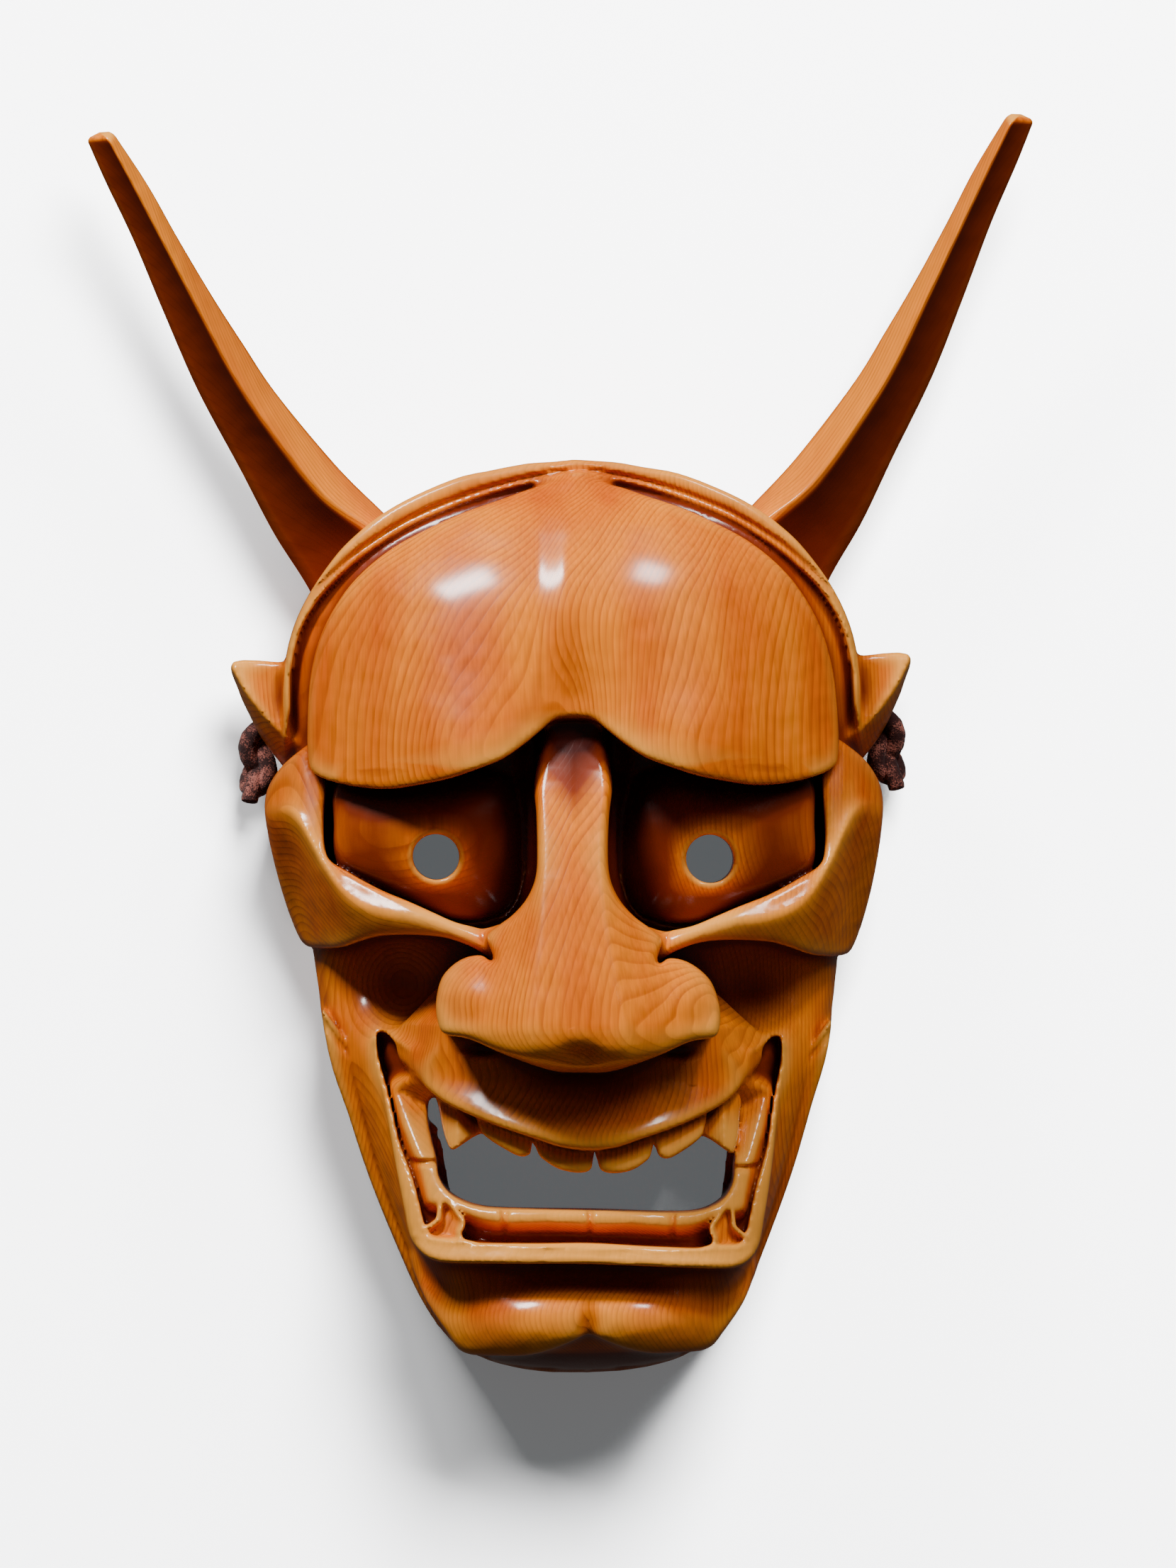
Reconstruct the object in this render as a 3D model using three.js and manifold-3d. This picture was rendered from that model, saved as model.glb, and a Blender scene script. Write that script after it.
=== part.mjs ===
// Hannya mask: a hollow face carved from one block of wood, two horns fixed behind its brow, and a cord.
// It lies on its flat back rim. X runs across the face, +Y towards the horns, +Z out of the face.
// Every size is in millimetres. A half outline runs from the crown down one side of the face.
import * as THREE from "three";
import Module from "manifold-3d";

const wasm = await Module();
wasm.setup();
const { Manifold, Mesh } = wasm;

// Main sizes of the part.
const FACE_WIDTH = 150.6; // across the shell at the temples
const FACE_LENGTH = 238.2; // from crown to chin
const FACE_DEPTH = 103.5; // from the back rim to the tip of the nose
const HORN_SPREAD = 248; // across the horns' tips
const HORN_RISE = 89.3; // from the crown up to the horns' tips
const SIDE_WALL = 9; // thickness of the shell at its rim
const PUPIL = { x: 35.5, y: -30.3, radius: 6.1 }; // x and y are on the drawing
const CORD = { radius: 2.5, hole: 3.2, y: -3, z: 11 };
const GAP = 0.3; // between two pieces that touch
const FINE = 4.2; // facet size of cheekbones, lips and teeth

// The drawing of the face. Its outlines and heights are stretched to the main sizes.
const HEAD = [
  [0, 73.2], [11, 72.6], [20, 71], [28.6, 69.3], [39, 65.2], [47.8, 60.6], [55.5, 54.8], [61.8, 48.3],
  [69.2, 37.5], [73.6, 26.5], [75.3, 14], [75, 0], [73.5, -10.5], [71.4, -30.9], [68.8, -54.4],
  [65.3, -79.9], [60.4, -96.2], [55.3, -112.6], [49.1, -128.9], [42.9, -143.2], [36.4, -153.4],
  [28, -159.9], [15.8, -163.9], [0, -165],
];
const FOREHEAD = [
  [0, 68], [10.5, 66.5], [19.3, 63.6], [28.2, 60.5], [37.3, 56.4], [46.1, 51.7], [54, 45.5], [60.1, 38.4],
  [65.2, 29.2], [68.3, 18], [69.3, 6], [69.3, -3], [67.5, -8], [59.2, -11.1], [48, -12.3], [36.7, -10.7],
  [30.6, -9.3], [24.5, -7.2], [18.4, -4.8], [13.1, -1.3], [8.8, 2.1], [4.9, 5.2], [0, 6.4],
];
const BAND_INSIDE = [
  [0, 68.8], [7.4, 67.9], [16.5, 66], [25.3, 63.4], [34.1, 60.1], [43, 56], [52.1, 50.3], [58, 45.6],
  [65, 38.5], [70.3, 29.8], [73, 19], [73.4, 9],
];
const CHEEKBONE = [
  [66, 1], [72, -2], [77.5, -7], [80.8, -13.6], [80.6, -22.8], [77.9, -37], [74.3, -49.3],
  [71.5, -54.6], [67, -55.6], [61, -55], [56, -53.2], [51, -51.7], [45, -51.2], [39, -51.2],
  [33, -51.8], [27, -53.8], [23, -56.2], [20.5, -58.7], [20.5, -54], [22.5, -50], [24.5, -48.7],
  [30.6, -47.2], [36.7, -44.6], [42.9, -41.9], [49, -39.5], [54, -37], [58.2, -34.6], [63, -31.7],
  [64.6, -28], [64.8, -20], [64, -6],
];
const EYEBALL = [
  [17, -8], [12.9, -18], [12, -28], [12.9, -36], [16.4, -42.5], [22.8, -46.6], [30.6, -46.9],
  [36.7, -44.8], [42.9, -42.1], [49, -39.7], [54, -37.2], [58.2, -34.8], [62, -31.5], [62.4, -22],
  [60.5, -8], [40, -6],
];
const NOSE = [
  [0, 9], [6, 5], [9, -2], [10.6, -11.5], [9.9, -18.7], [9.6, -27.8], [10, -34.9], [12.3, -40.5],
  [16, -44.8], [20, -47.8], [23, -51], [21.5, -56.5], [24, -55.3], [28, -55.8], [32, -58], [35.3, -61.8],
  [36.9, -67.7], [36.7, -73], [34.8, -76.4], [28.3, -77.6], [18.8, -81.8], [7.9, -85.5], [0, -85.9],
];
const MUZZLE = [
  [0, -62], [30, -62], [38, -60], [50, -64], [56, -70], [55, -76], [52.6, -77.2], [49.8, -80.2],
  [46.6, -83.7], [43.8, -86.2], [41, -89.4], [38, -92.2], [34, -94.8], [28, -97.6], [22, -99.9],
  [17, -101.6], [13, -102.9], [8, -104.6], [3, -105.5], [0, -105.6],
];
const MOUTH = [
  [0, -100], [28, -92], [44, -81], [53, -77], [52.9, -84], [51.9, -90], [50.6, -98], [49.3, -107],
  [48, -115], [46.7, -122], [45.3, -129], [43, -132.8], [39.5, -135], [34, -135.6], [20, -135.3],
  [0, -134.9],
];
const LIP_INSIDE = [
  [0, -100], [28, -92], [40, -82], [50.5, -76.5], [52.5, -77.6], [52.2, -83], [50.8, -89],
  [49.4, -95.5], [47.8, -104], [45.9, -110], [44.3, -115], [42.6, -122], [41.5, -126.5],
  [39, -129.5], [35, -130.3], [28, -130.4], [13, -130], [0, -129.6],
];
const MOUTH_HOLE = [
  [0, -100], [10, -99.5], [20, -97], [30, -93], [38.5, -91], [40.2, -97], [39.7, -103],
  [38.5, -109], [38.2, -113], [36.3, -116.8], [33, -119.4], [28, -121], [20, -121.4], [0, -121.2],
];
const CHIN = [
  [0, -133], [30, -133], [44, -134], [42.4, -143.2], [36, -153], [31.5, -157.9], [23, -158.6],
  [15.8, -158.5], [9.5, -157], [3, -154.4], [0, -153.3],
];
const LOWER_TEETH = [
  [0, -124.6], [10, -124.4], [22, -124.8], [28, -124], [32.5, -122], [36.5, -120.2], [40.2, -120.2],
  [41.4, -116], [42.4, -110.5], [44.2, -106.5], [48.2, -95], [49, -90], [38, -88], [0, -92],
];
const LOWER_FANG = [
  [27.4, -130.5], [31.5, -124.6], [36.4, -118], [38, -119], [38.8, -124.5], [39.4, -130.5],
];
const UPPER_FANG = [
  [38.6, -91], [38.8, -97], [37.8, -103.2], [36.4, -106.3], [35, -105.7], [31, -103],
  [26, -99.8], [27.5, -93],
];
const INNER_TOOTH = [
  [0.8, -101], [0.8, -109], [1.8, -111], [5, -111.5], [9.2, -110.7], [12.4, -108.9], [14.7, -106.3],
  [14.9, -99],
];
const OUTER_TOOTH = [
  [16.2, -98], [16.2, -105.3], [17.2, -107.3], [19.5, -107.5], [23, -105.7], [26.8, -103.2],
  [28.8, -100.8], [29, -95],
];
const EAR = [
  [68, 21], [74, 21.4], [88.2, 21.8], [87, 14], [84.5, 8], [81.5, 2], [77.5, -3.5], [73, -7.5], [67, -9],
];

const BELOW_BAND = [[90, 10], [90, -170], [0, -170]];
const CROWN = HEAD[0][1];
const CHIN_LOW = HEAD[HEAD.length - 1][1];
const NOSE_TOP = 103.5;
const MIDDLE = [0, -40];
const UNDER_EAR = 20;
const PLATE_FLOOR = 25; // where most of the plates begin, inside the shell

const ACROSS = FACE_WIDTH / (2 * Math.max(...HEAD.map((p) => p[0])));
const ALONG = FACE_LENGTH / (CROWN - CHIN_LOW);
const DEEP = FACE_DEPTH / NOSE_TOP;
const ABOVE = 1.2 * FACE_DEPTH;

// An outline of the drawing at its real size.
const real = (outline) => outline.map(([x, y]) => [ACROSS * x, ALONG * y]);

// A smooth function through pairs [where, value]; it keeps its end values beyond both ends.
function curve(pairs) {
  const p = [...pairs].sort((a, b) => a[0] - b[0]);
  const secant = p.slice(1).map((q, i) => (q[1] - p[i][1]) / (q[0] - p[i][0]));
  const slope = p.map((q, i) => {
    if (i === 0) return secant[0];
    if (i === p.length - 1) return secant[i - 1];
    const before = q[0] - p[i - 1][0];
    const after = p[i + 1][0] - q[0];
    return (after * secant[i - 1] + before * secant[i]) / (before + after);
  });
  return (at) => {
    const t = Math.min(Math.max(at, p[0][0]), p[p.length - 1][0]);
    let i = 0;
    while (i < p.length - 2 && t > p[i + 1][0]) i += 1;
    const h = p[i + 1][0] - p[i][0];
    const s = (t - p[i][0]) / h;
    return (
      (2 * s ** 3 - 3 * s ** 2 + 1) * p[i][1] + (s ** 3 - 2 * s ** 2 + s) * h * slope[i]
      + (3 * s ** 2 - 2 * s ** 3) * p[i + 1][1] + (s ** 3 - s ** 2) * h * slope[i + 1]
    );
  };
}

// A smooth rise from 0 at lo to 1 at hi.
function step(lo, hi, t) {
  const s = Math.min(Math.max((t - lo) / (hi - lo), 0), 1);
  return s * s * (3 - 2 * s);
}

// A round swelling of height 1 at (0, 0) that fades over its reach each way.
const swell = (u, v, reachU, reachV) => Math.exp(-((u / reachU) ** 2) - (v / reachV) ** 2);

// The whole outline of a shape from its half outline.
function bothSides(half) {
  const left = half.filter(([x]) => x > 0.01).map(([x, y]) => [-x, y]).reverse();
  return [...half, ...left];
}

// The same outline moved inwards by a distance.
function shrunk(outline, distance) {
  const n = outline.length;
  return outline.map(([x, y], i) => {
    const [ax, ay] = outline[(i + n - 1) % n];
    const [bx, by] = outline[(i + 1) % n];
    const length = Math.hypot(bx - ax, by - ay);
    return [x + (distance * (by - ay)) / length, y - (distance * (bx - ax)) / length];
  });
}

// A manifold solid from corner coordinates and triangles, turned so that its faces look outwards.
function solid(corners, triangles) {
  const corner = (v) => new THREE.Vector3(corners[3 * v], corners[3 * v + 1], corners[3 * v + 2]);
  let volume = 0;
  for (let i = 0; i < triangles.length; i += 3) {
    const [a, b, c] = [corner(triangles[i]), corner(triangles[i + 1]), corner(triangles[i + 2])];
    volume += a.dot(b.cross(c)) / 6;
  }
  const merged = new Mesh({
    numProp: 3,
    vertProperties: new Float32Array(corners),
    triVerts: new Uint32Array(volume < 0 ? [...triangles].reverse() : triangles),
  });
  merged.merge();
  return new Manifold(merged);
}

// A three.js geometry as a manifold solid.
function solidOf(geometry) {
  const flat = geometry.index ? geometry.toNonIndexed() : geometry;
  const corners = flat.getAttribute("position").array;
  return solid(corners, [...Array(corners.length / 3).keys()]);
}

// An upright prism on an outline, from one height to another.
function prism(outline, from, to) {
  const shape = new THREE.Shape(outline.map(([x, y]) => new THREE.Vector2(x, y)));
  const block = new THREE.ExtrudeGeometry(shape, { depth: to - from, bevelEnabled: false });
  return solidOf(block.translate(0, 0, from));
}

// The real height over the table of a drawn surface, at a real place, and never under its floor.
const level = (height, x, y, floor) => Math.max(DEEP * height(x / ACROSS, y / ALONG), floor + 0.5);

// A grid of facets on a drawn surface, cut to a drawn outline, as a block that stands on its floor.
function carved(drawn, drawnFloor, pitch, height) {
  const outline = real(drawn);
  const floor = DEEP * drawnFloor;
  const xs = outline.map((p) => p[0]);
  const ys = outline.map((p) => p[1]);
  const [x0, x1] = [Math.min(...xs) - 1, Math.max(...xs) + 1];
  const [y0, y1] = [Math.min(...ys) - 1, Math.max(...ys) + 1];
  const nx = Math.ceil((x1 - x0) / pitch);
  const ny = Math.ceil((y1 - y0) / pitch);
  const corners = [];
  const triangles = [];
  for (let j = 0; j <= ny; j += 1) {
    for (let i = 0; i <= nx; i += 1) {
      const [x, y] = [x0 + ((x1 - x0) * i) / nx, y0 + ((y1 - y0) * j) / ny];
      corners.push(x, y, level(height, x, y, floor));
    }
  }
  const at = (i, j) => j * (nx + 1) + i;
  for (let j = 0; j < ny; j += 1) {
    for (let i = 0; i < nx; i += 1) {
      const [a, b, c, d] = [at(i, j), at(i + 1, j), at(i + 1, j + 1), at(i, j + 1)];
      const leans = Math.abs(corners[3 * a + 2] - corners[3 * c + 2])
        < Math.abs(corners[3 * b + 2] - corners[3 * d + 2]);
      triangles.push(...(leans ? [a, b, c, a, c, d] : [a, b, d, b, c, d]));
    }
  }
  const rim = [];
  for (let i = 0; i < nx; i += 1) rim.push(at(i, 0));
  for (let j = 0; j < ny; j += 1) rim.push(at(nx, j));
  for (let i = nx; i > 0; i -= 1) rim.push(at(i, ny));
  for (let j = ny; j > 0; j -= 1) rim.push(at(0, j));
  const feet = rim.map((v) => {
    corners.push(corners[3 * v], corners[3 * v + 1], floor);
    return corners.length / 3 - 1;
  });
  corners.push((x0 + x1) / 2, (y0 + y1) / 2, floor);
  const centre = corners.length / 3 - 1;
  rim.forEach((v, k) => {
    const next = (k + 1) % rim.length;
    triangles.push(v, feet[k], feet[next], v, feet[next], rim[next], centre, feet[next], feet[k]);
  });
  return solid(corners, triangles).intersect(prism(outline, floor, ABOVE));
}

// Rings of facets on a drawn surface, from a real outline in to a drawn centre, as a block on its floor.
function domed(outline, [drawnX, drawnY], rings, drawnFloor, height) {
  const [cx, cy] = [ACROSS * drawnX, ALONG * drawnY];
  const floor = DEEP * drawnFloor;
  const n = outline.length;
  const corners = [];
  const triangles = [];
  const put = (x, y, z) => corners.push(x, y, z) / 3 - 1;
  for (let r = 1; r <= rings; r += 1) {
    const share = Math.sin((Math.PI / 2) * (0.15 + (0.85 * r) / rings)) ** 0.9 * (r / rings) ** 0.75;
    for (const [x, y] of outline) {
      const [px, py] = [cx + share * (x - cx), cy + share * (y - cy)];
      put(px, py, level(height, px, py, floor));
    }
  }
  const up = (v) => corners[3 * v + 2];
  for (let r = 0; r < rings - 1; r += 1) {
    for (let i = 0; i < n; i += 1) {
      const next = (i + 1) % n;
      const [a, b, c, d] = [r * n + i, r * n + next, (r + 1) * n + next, (r + 1) * n + i];
      const leans = Math.abs(up(a) - up(c)) < Math.abs(up(b) - up(d));
      triangles.push(...(leans ? [a, c, b, a, d, c] : [a, d, b, b, d, c]));
    }
  }
  const top = put(cx, cy, level(height, cx, cy, floor));
  const feet = outline.map(([x, y]) => put(x, y, floor));
  const under = put(cx, cy, floor);
  for (let i = 0; i < n; i += 1) {
    const next = (i + 1) % n;
    const edge = (rings - 1) * n;
    triangles.push(top, i, next, edge + i, feet[next], edge + next, edge + i, feet[i], feet[next],
      under, feet[next], feet[i]);
  }
  return solid(corners, triangles);
}

// A solid for the right of the face together with its mirror image.
const twice = (right) => right.add(right.mirror([1, 0, 0]));

// The surfaces of the drawing, each as a height over the table.
const headHalf = curve(HEAD.map(([x, y]) => [y, x]));
const bodyEdge = curve([[75, 36], [40, 36], [0, 34], [-30, 31], [-60, 28], [-80, 30], [-100, 32],
  [-120, 35], [-140, 40], [-155, 44], [-166, 44]]);
const bodyMiddle = curve([[75, 38], [40, 52], [0, 56], [-30, 53], [-50, 52], [-62, 52], [-80, 60],
  [-100, 66], [-120, 73], [-136, 75], [-150, 74], [-156, 66], [-161, 56], [-166, 44]]);
const bodyRound = curve([[-55, 4], [-85, 5.5], [-150, 6]]);
function bodyHeight(x, y) {
  const a = Math.abs(x);
  const share = Math.min(a / Math.max(headHalf(y), 1), 1);
  return bodyEdge(y) + (bodyMiddle(y) - bodyEdge(y)) * (1 - share ** bodyRound(y))
    - 9 * swell(a - 47, y + 65, 13, 13) + 9 * swell(a - 12, y + 28, 4, 20);
}

const browRidge = curve([[70, 45], [66, 48], [60, 55.3], [50, 63.2], [40, 69.3], [28, 74], [15, 77.4],
  [5, 79.2], [-5, 80.2], [-13, 80]]);
const browFall = curve([[70, 18], [50, 26], [30, 31], [10, 32], [-4, 30], [-12, 27]]);
const browHalf = curve([[70, 52], [60, 56], [45, 66], [30, 70], [10, 72], [-12, 72]]);
function foreheadHeight(x, y) {
  const a = Math.abs(x);
  return browRidge(y) - browFall(y) * (a / browHalf(y)) ** 2.5
    + 5 * swell(a - 29, y + 6, 19, 20) - 4.5 * swell(a, 0, 9, 1) * step(45, -2, y)
    + 1.5 * swell(a, 0, 5, 1) * step(8, 34, y);
}

const bandTop = curve([[75, 43], [60, 44], [30, 43], [10, 42], [-10, 40]]);

const noseRidge = curve([[10, 66], [5, 69], [-2, 73], [-12, 78.7], [-22, 83.7], [-35, 89.6], [-50, 95.7],
  [-62, 100], [-70, 102.5], [-76, NOSE_TOP], [-81, 101.8], [-85, 96.5], [-88, 92]]);
const noseSlope = curve([[5, 0.9], [-10, 1.4], [-30, 1.4], [-45, 0.95], [-60, 0.6], [-86, 0.5]]);
const noseFlat = curve([[5, 5], [-12, 7.8], [-30, 7], [-45, 7.5], [-60, 9], [-76, 11]]);
function noseHeight(x, y) {
  const a = Math.abs(x);
  const beside = Math.max(a - noseFlat(y), 0);
  const bridge = noseRidge(y) - 0.1 * a - noseSlope(y) * (Math.hypot(beside, 2) - 2);
  const wing = 91 - ((a - 25) ** 2 + (y + 68) ** 2) / 13;
  return Math.max(bridge, wing);
}

const cheekCrest = curve([[15, 74], [22, 74.5], [30, 74], [45, 71], [60, 64], [70, 55], [78, 44], [82, 36]]);
const cheekLine = curve([[20, -56.5], [24, -53.5], [30, -50.2], [36, -48], [42, -46.4], [49, -45.4],
  [55, -43.6], [61, -39], [66, -31], [72, -20], [82, -18]]);
function cheekboneHeight(x, y) {
  const above = y - cheekLine(x);
  return cheekCrest(x) - 0.004 * above ** 2 - (above > 0 ? 0.45 : 0.8) * (Math.hypot(above, 2) - 2);
}

const eyeballHeight = (x, y) => 66.5 - 9 * (((x - 36) / 27) ** 2 + ((y + 27) / 22) ** 2);

const lipRidge = curve([[-60, 72], [-72, 76], [-80, 77.5], [-88, 78.5], [-95, 82], [-102, 86], [-106, 87]]);
const foldLine = curve([[-60, 33], [-70, 35], [-78, 36.8], [-84, 40], [-90, 41.5], [-106, 41.5]]);
function muzzleHeight(x, y) {
  const a = Math.abs(x);
  const past = Math.max(a - foldLine(y) + 1.2, 0);
  return lipRidge(y) - 10 * (a / 40) ** 2.2 - 1.25 * (Math.hypot(past, 1) - 1)
    - 1.2 * Math.max(y + 74, 0);
}

const chinRidge = curve([[-128, 70], [-136, 74.5], [-139, 75.5], [-144, 80.5], [-149, 83], [-154, 82.5],
  [-158, 80], [-162, 76]]);
function chinHeight(x, y) {
  const a = Math.abs(x);
  return chinRidge(y) - 13 * (a / 34) ** 2.6 + 1.2 * swell(a - 17, y + 150, 9, 8)
    - 3.2 * swell(a, 0, 2.6, 1) * step(-143, -153, y);
}

const lipHeight = (x, y) => 84 - 14 * (Math.min(Math.abs(x), 60) / 46) ** 2.5 - 14 * step(-130, -80, y)
  + 0.5 * Math.max(-129.5 - y, 0);
const trenchHeight = (x, y) => lipHeight(x, y) - 9;
const toothRowHeight = (x, y) => lipHeight(x, y) - 2.6;
const toothHeight = (x, y) => 80.5 - 9 * (x / 36) ** 2 - 0.3 * (y + 104);
const fangHeight = (x, y) => 72 - 0.35 * (y + 106) - (x > 34.5 ? 1.2 : 0.35) * Math.abs(x - 34.5);

const earRidge = curve([[66, -3], [72, 0.5], [77, 4], [81, 8.5], [85, 14], [89, 21]]);
function earHeight(x, y) {
  const above = y - earRidge(x);
  return 40 - 0.35 * (x - 68) - (above > 0 ? 0.42 : -1.3) * above + 0.012 * Math.max(above, 0) ** 2;
}

const hollowMiddle = curve([[66, 14], [55, 34], [40, 47], [20, 54], [4, 50], [-10, 43], [-30, 41],
  [-50, 41], [-70, 42], [-90, 46], [-110, 52], [-130, 56], [-145, 50], [-158, 20]]);
function hollowHeight(x, y) {
  const a = Math.abs(x);
  const share = Math.min(a / Math.max(headHalf(y) - SIDE_WALL / ACROSS + 1, 1), 1);
  return hollowMiddle(y) * (1 - share ** 5)
    + 8 * swell(a - 36, y + 27, 12, 10) + 16 * swell(a, y + 62, 13, 20)
    - 5 * swell(a - 47, y + 67, 10, 12);
}

// The plates of the face, from the back ones to the front ones.
const headOutline = real(bothSides(HEAD));
const body = domed(headOutline, MIDDLE, 13, 0, bodyHeight);
const band = domed(headOutline, MIDDLE, 2, PLATE_FLOOR, (x, y) => bandTop(y))
  .subtract(prism(real(bothSides([...BAND_INSIDE, ...BELOW_BAND])), 0, ABOVE));
const forehead = domed(real(bothSides(FOREHEAD)), [0, 28], 10, PLATE_FLOOR, foreheadHeight);
const nose = domed(real(bothSides(NOSE)), [0, -60], 10, PLATE_FLOOR, noseHeight);
const eyeball = domed(real(EYEBALL), [38, -28], 5, PLATE_FLOOR, eyeballHeight);
const chin = domed(real(bothSides(CHIN)), [0, -147], 6, PLATE_FLOOR, chinHeight);
const muzzle = carved(bothSides(MUZZLE), PLATE_FLOOR, 1.2 * FINE, muzzleHeight);
const ear = carved(EAR, UNDER_EAR, 1.2 * FINE, earHeight);
const besideHead = [[70, 20], [70, -70], [95, -70], [95, 20]];
const cheekbone = carved(CHEEKBONE, UNDER_EAR, FINE, cheekboneHeight)
  .subtract(carved(besideHead, 0, 7 * FINE, (x) => 2 * (x - 69)));
const upperTeeth = [[UPPER_FANG, fangHeight], [INNER_TOOTH, toothHeight], [OUTER_TOOTH, toothHeight]]
  .map(([outline, height]) => carved(outline, 2 * PLATE_FLOOR, FINE, height));
const lowerFang = carved(LOWER_FANG, 2 * PLATE_FLOOR, FINE, (x, y) => lipHeight(x, y) - 0.25 * (y + 130));

// The mouth: a trench behind the lip, the lower teeth round the opening, then the opening itself.
const ROW_GAP = 1.4;
const lipInside = bothSides(LIP_INSIDE);
const hole = prism(real(bothSides(MOUTH_HOLE)), -1, ABOVE);
const trench = prism(real(lipInside), 0, ABOVE)
  .subtract(carved(shrunk(lipInside, -1), 0, FINE, trenchHeight));
const lowerTeeth = carved(bothSides(LOWER_TEETH), PLATE_FLOOR, FINE, toothRowHeight)
  .intersect(prism(real(shrunk(lipInside, ROW_GAP)), 0, ABOVE));
const jaw = body.add(chin).add(carved(bothSides(MOUTH), PLATE_FLOOR, FINE, lipHeight)).subtract(trench)
  .add(lowerTeeth).subtract(hole);

const pupil = solidOf(new THREE.CylinderGeometry(PUPIL.radius, PUPIL.radius, 2 * ABOVE, 20)
  .rotateX(Math.PI / 2).translate(ACROSS * PUPIL.x, ALONG * PUPIL.y, 0));
const cordHole = solidOf(new THREE.CylinderGeometry(CORD.hole, CORD.hole, 2 * FACE_WIDTH, 12)
  .rotateZ(Math.PI / 2).translate(0, CORD.y, CORD.z));
const hollow = domed(shrunk(headOutline, SIDE_WALL), MIDDLE, 9, -1, hollowHeight);

const face = jaw.add(band).add(forehead).add(nose).add(muzzle)
  .add(twice(Manifold.union([...upperTeeth, lowerFang, eyeball, cheekbone, ear])))
  .subtract(hollow).subtract(twice(pupil)).subtract(cordHole);

// A horn, as rails from its foot to its tip: outer edge, arris and inner edge.
const HORN_OUTER = [[60, 24], [68, 41], [77, 56], [85.5, 73], [96, 93.5], [104.5, 114], [112, 133],
  [119, 148.5], [124, 160.5]];
const HORN_ARRIS = [[46, 51.5], [52, 56.7], [64.2, 66], [78.2, 84.4], [86.4, 97.4], [94, 112.4],
  [102.8, 130], [110.6, 145.6], [118.2, 160.4]];
const HORN_INNER = [[42, 54], [48, 60.6], [60, 73], [75.3, 92.1], [84, 105.6], [92, 118.6],
  [100.5, 133.6], [108, 147.5], [117.5, 162.5]];
const HORN_LAST = HORN_OUTER.length - 1;
const hornLevel = curve([[0, 23], [3, 26], [HORN_LAST, 36]]);
const hornDepth = curve([[0, 13], [2, 11.5], [5, 7.5], [HORN_LAST, 3.2]]);

const HORN_REACH = HORN_SPREAD / 2 - ACROSS * HORN_OUTER[HORN_LAST][0];
const HORN_LIFT = ALONG * (CROWN - HORN_INNER[HORN_LAST][1]) + HORN_RISE;

// The foot of a horn follows the head, and its tip reaches the horns' own spread and rise.
function horn(sections) {
  const rails = [HORN_OUTER, HORN_ARRIS, HORN_INNER].map((rail) => [0, 1].map((k) => curve(
    rail.map((p, i) => [i, p[k]]))));
  const corners = [];
  for (let i = 0; i <= sections; i += 1) {
    const t = (HORN_LAST * i) / sections;
    const bend = (i / sections) ** 2;
    const [outer, arris, inner] = rails.map(([x, y]) => [
      ACROSS * x(t) + bend * HORN_REACH, ALONG * y(t) + bend * HORN_LIFT]);
    const [level, depth] = [DEEP * hornLevel(t), DEEP * hornDepth(t)];
    const back = (share) => [0, 1].map((k) => outer[k] + share * (inner[k] - outer[k]));
    corners.push(...outer, level, ...arris, level + depth, ...inner, level,
      ...back(0.72), level - 0.75 * depth, ...back(0.25), level - 0.8 * depth);
  }
  const round = 5;
  const end = sections * round;
  const triangles = [];
  for (let first = 0; first < end; first += round) {
    for (let k = 0; k < round; k += 1) {
      const [a, b] = [first + k, first + ((k + 1) % round)];
      triangles.push(a, a + round, b, b, a + round, b + round);
    }
  }
  for (let k = 1; k < round - 1; k += 1) triangles.push(0, k, k + 1, end, end + k + 1, end + k);
  return solid(corners, triangles);
}
const rightHorn = horn(20).subtract(prism(shrunk(headOutline, -GAP), -1, ABOVE));

// The knot at each end of the cord: two lobes that bear on the side wall outside its hole.
const KNOT = { upper: 6.2, lower: 5.4, apart: 8.8 };
const WALL_AT_CORD = ACROSS * headHalf(CORD.y / ALONG) + GAP / 2;
function knotLobe(radius, y) {
  const lump = new THREE.IcosahedronGeometry(radius, 1);
  lump.deleteAttribute("normal");
  lump.deleteAttribute("uv");
  return solidOf(lump.translate(WALL_AT_CORD + GAP + KNOT.upper, y, CORD.z));
}
const knot = knotLobe(KNOT.upper, CORD.y + KNOT.apart / 2)
  .add(knotLobe(KNOT.lower, CORD.y - KNOT.apart / 2))
  .subtract(prism(shrunk(headOutline, -GAP), -1, ABOVE));

// The cord: from one knot, through the shell, slack across the hollow to the other knot.
const CORD_LOW = CORD.radius + 0.5;
const CORD_BEND = [
  [-71, CORD.y, CORD.z], [-66, CORD.y, CORD.z], [-61, -3.2, 10.2], [-56, -4.2, 8], [-51, -5.6, 5.4],
  [-45.5, -7.6, 3.6], [-39, -9.6, CORD_LOW], [-31, -11.4, CORD_LOW], [-21, -13, CORD_LOW],
  [-10, -14.2, CORD_LOW], [2, -14.8, CORD_LOW], [13, -14.2, CORD_LOW], [24, -12.8, CORD_LOW],
  [33.5, -10.8, CORD_LOW], [41, -8.6, CORD_LOW], [47, -6.6, 3.8], [52, -4.9, 5.6], [56.5, -3.7, 8.2],
  [61, -3.1, 10.2], [66, CORD.y, CORD.z], [71, CORD.y, CORD.z],
];
const CORD_ROUTE = [[-WALL_AT_CORD, CORD.y, CORD.z], ...CORD_BEND.map(([x, y, z]) => [ACROSS * x, y, z]),
  [WALL_AT_CORD, CORD.y, CORD.z]];
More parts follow.
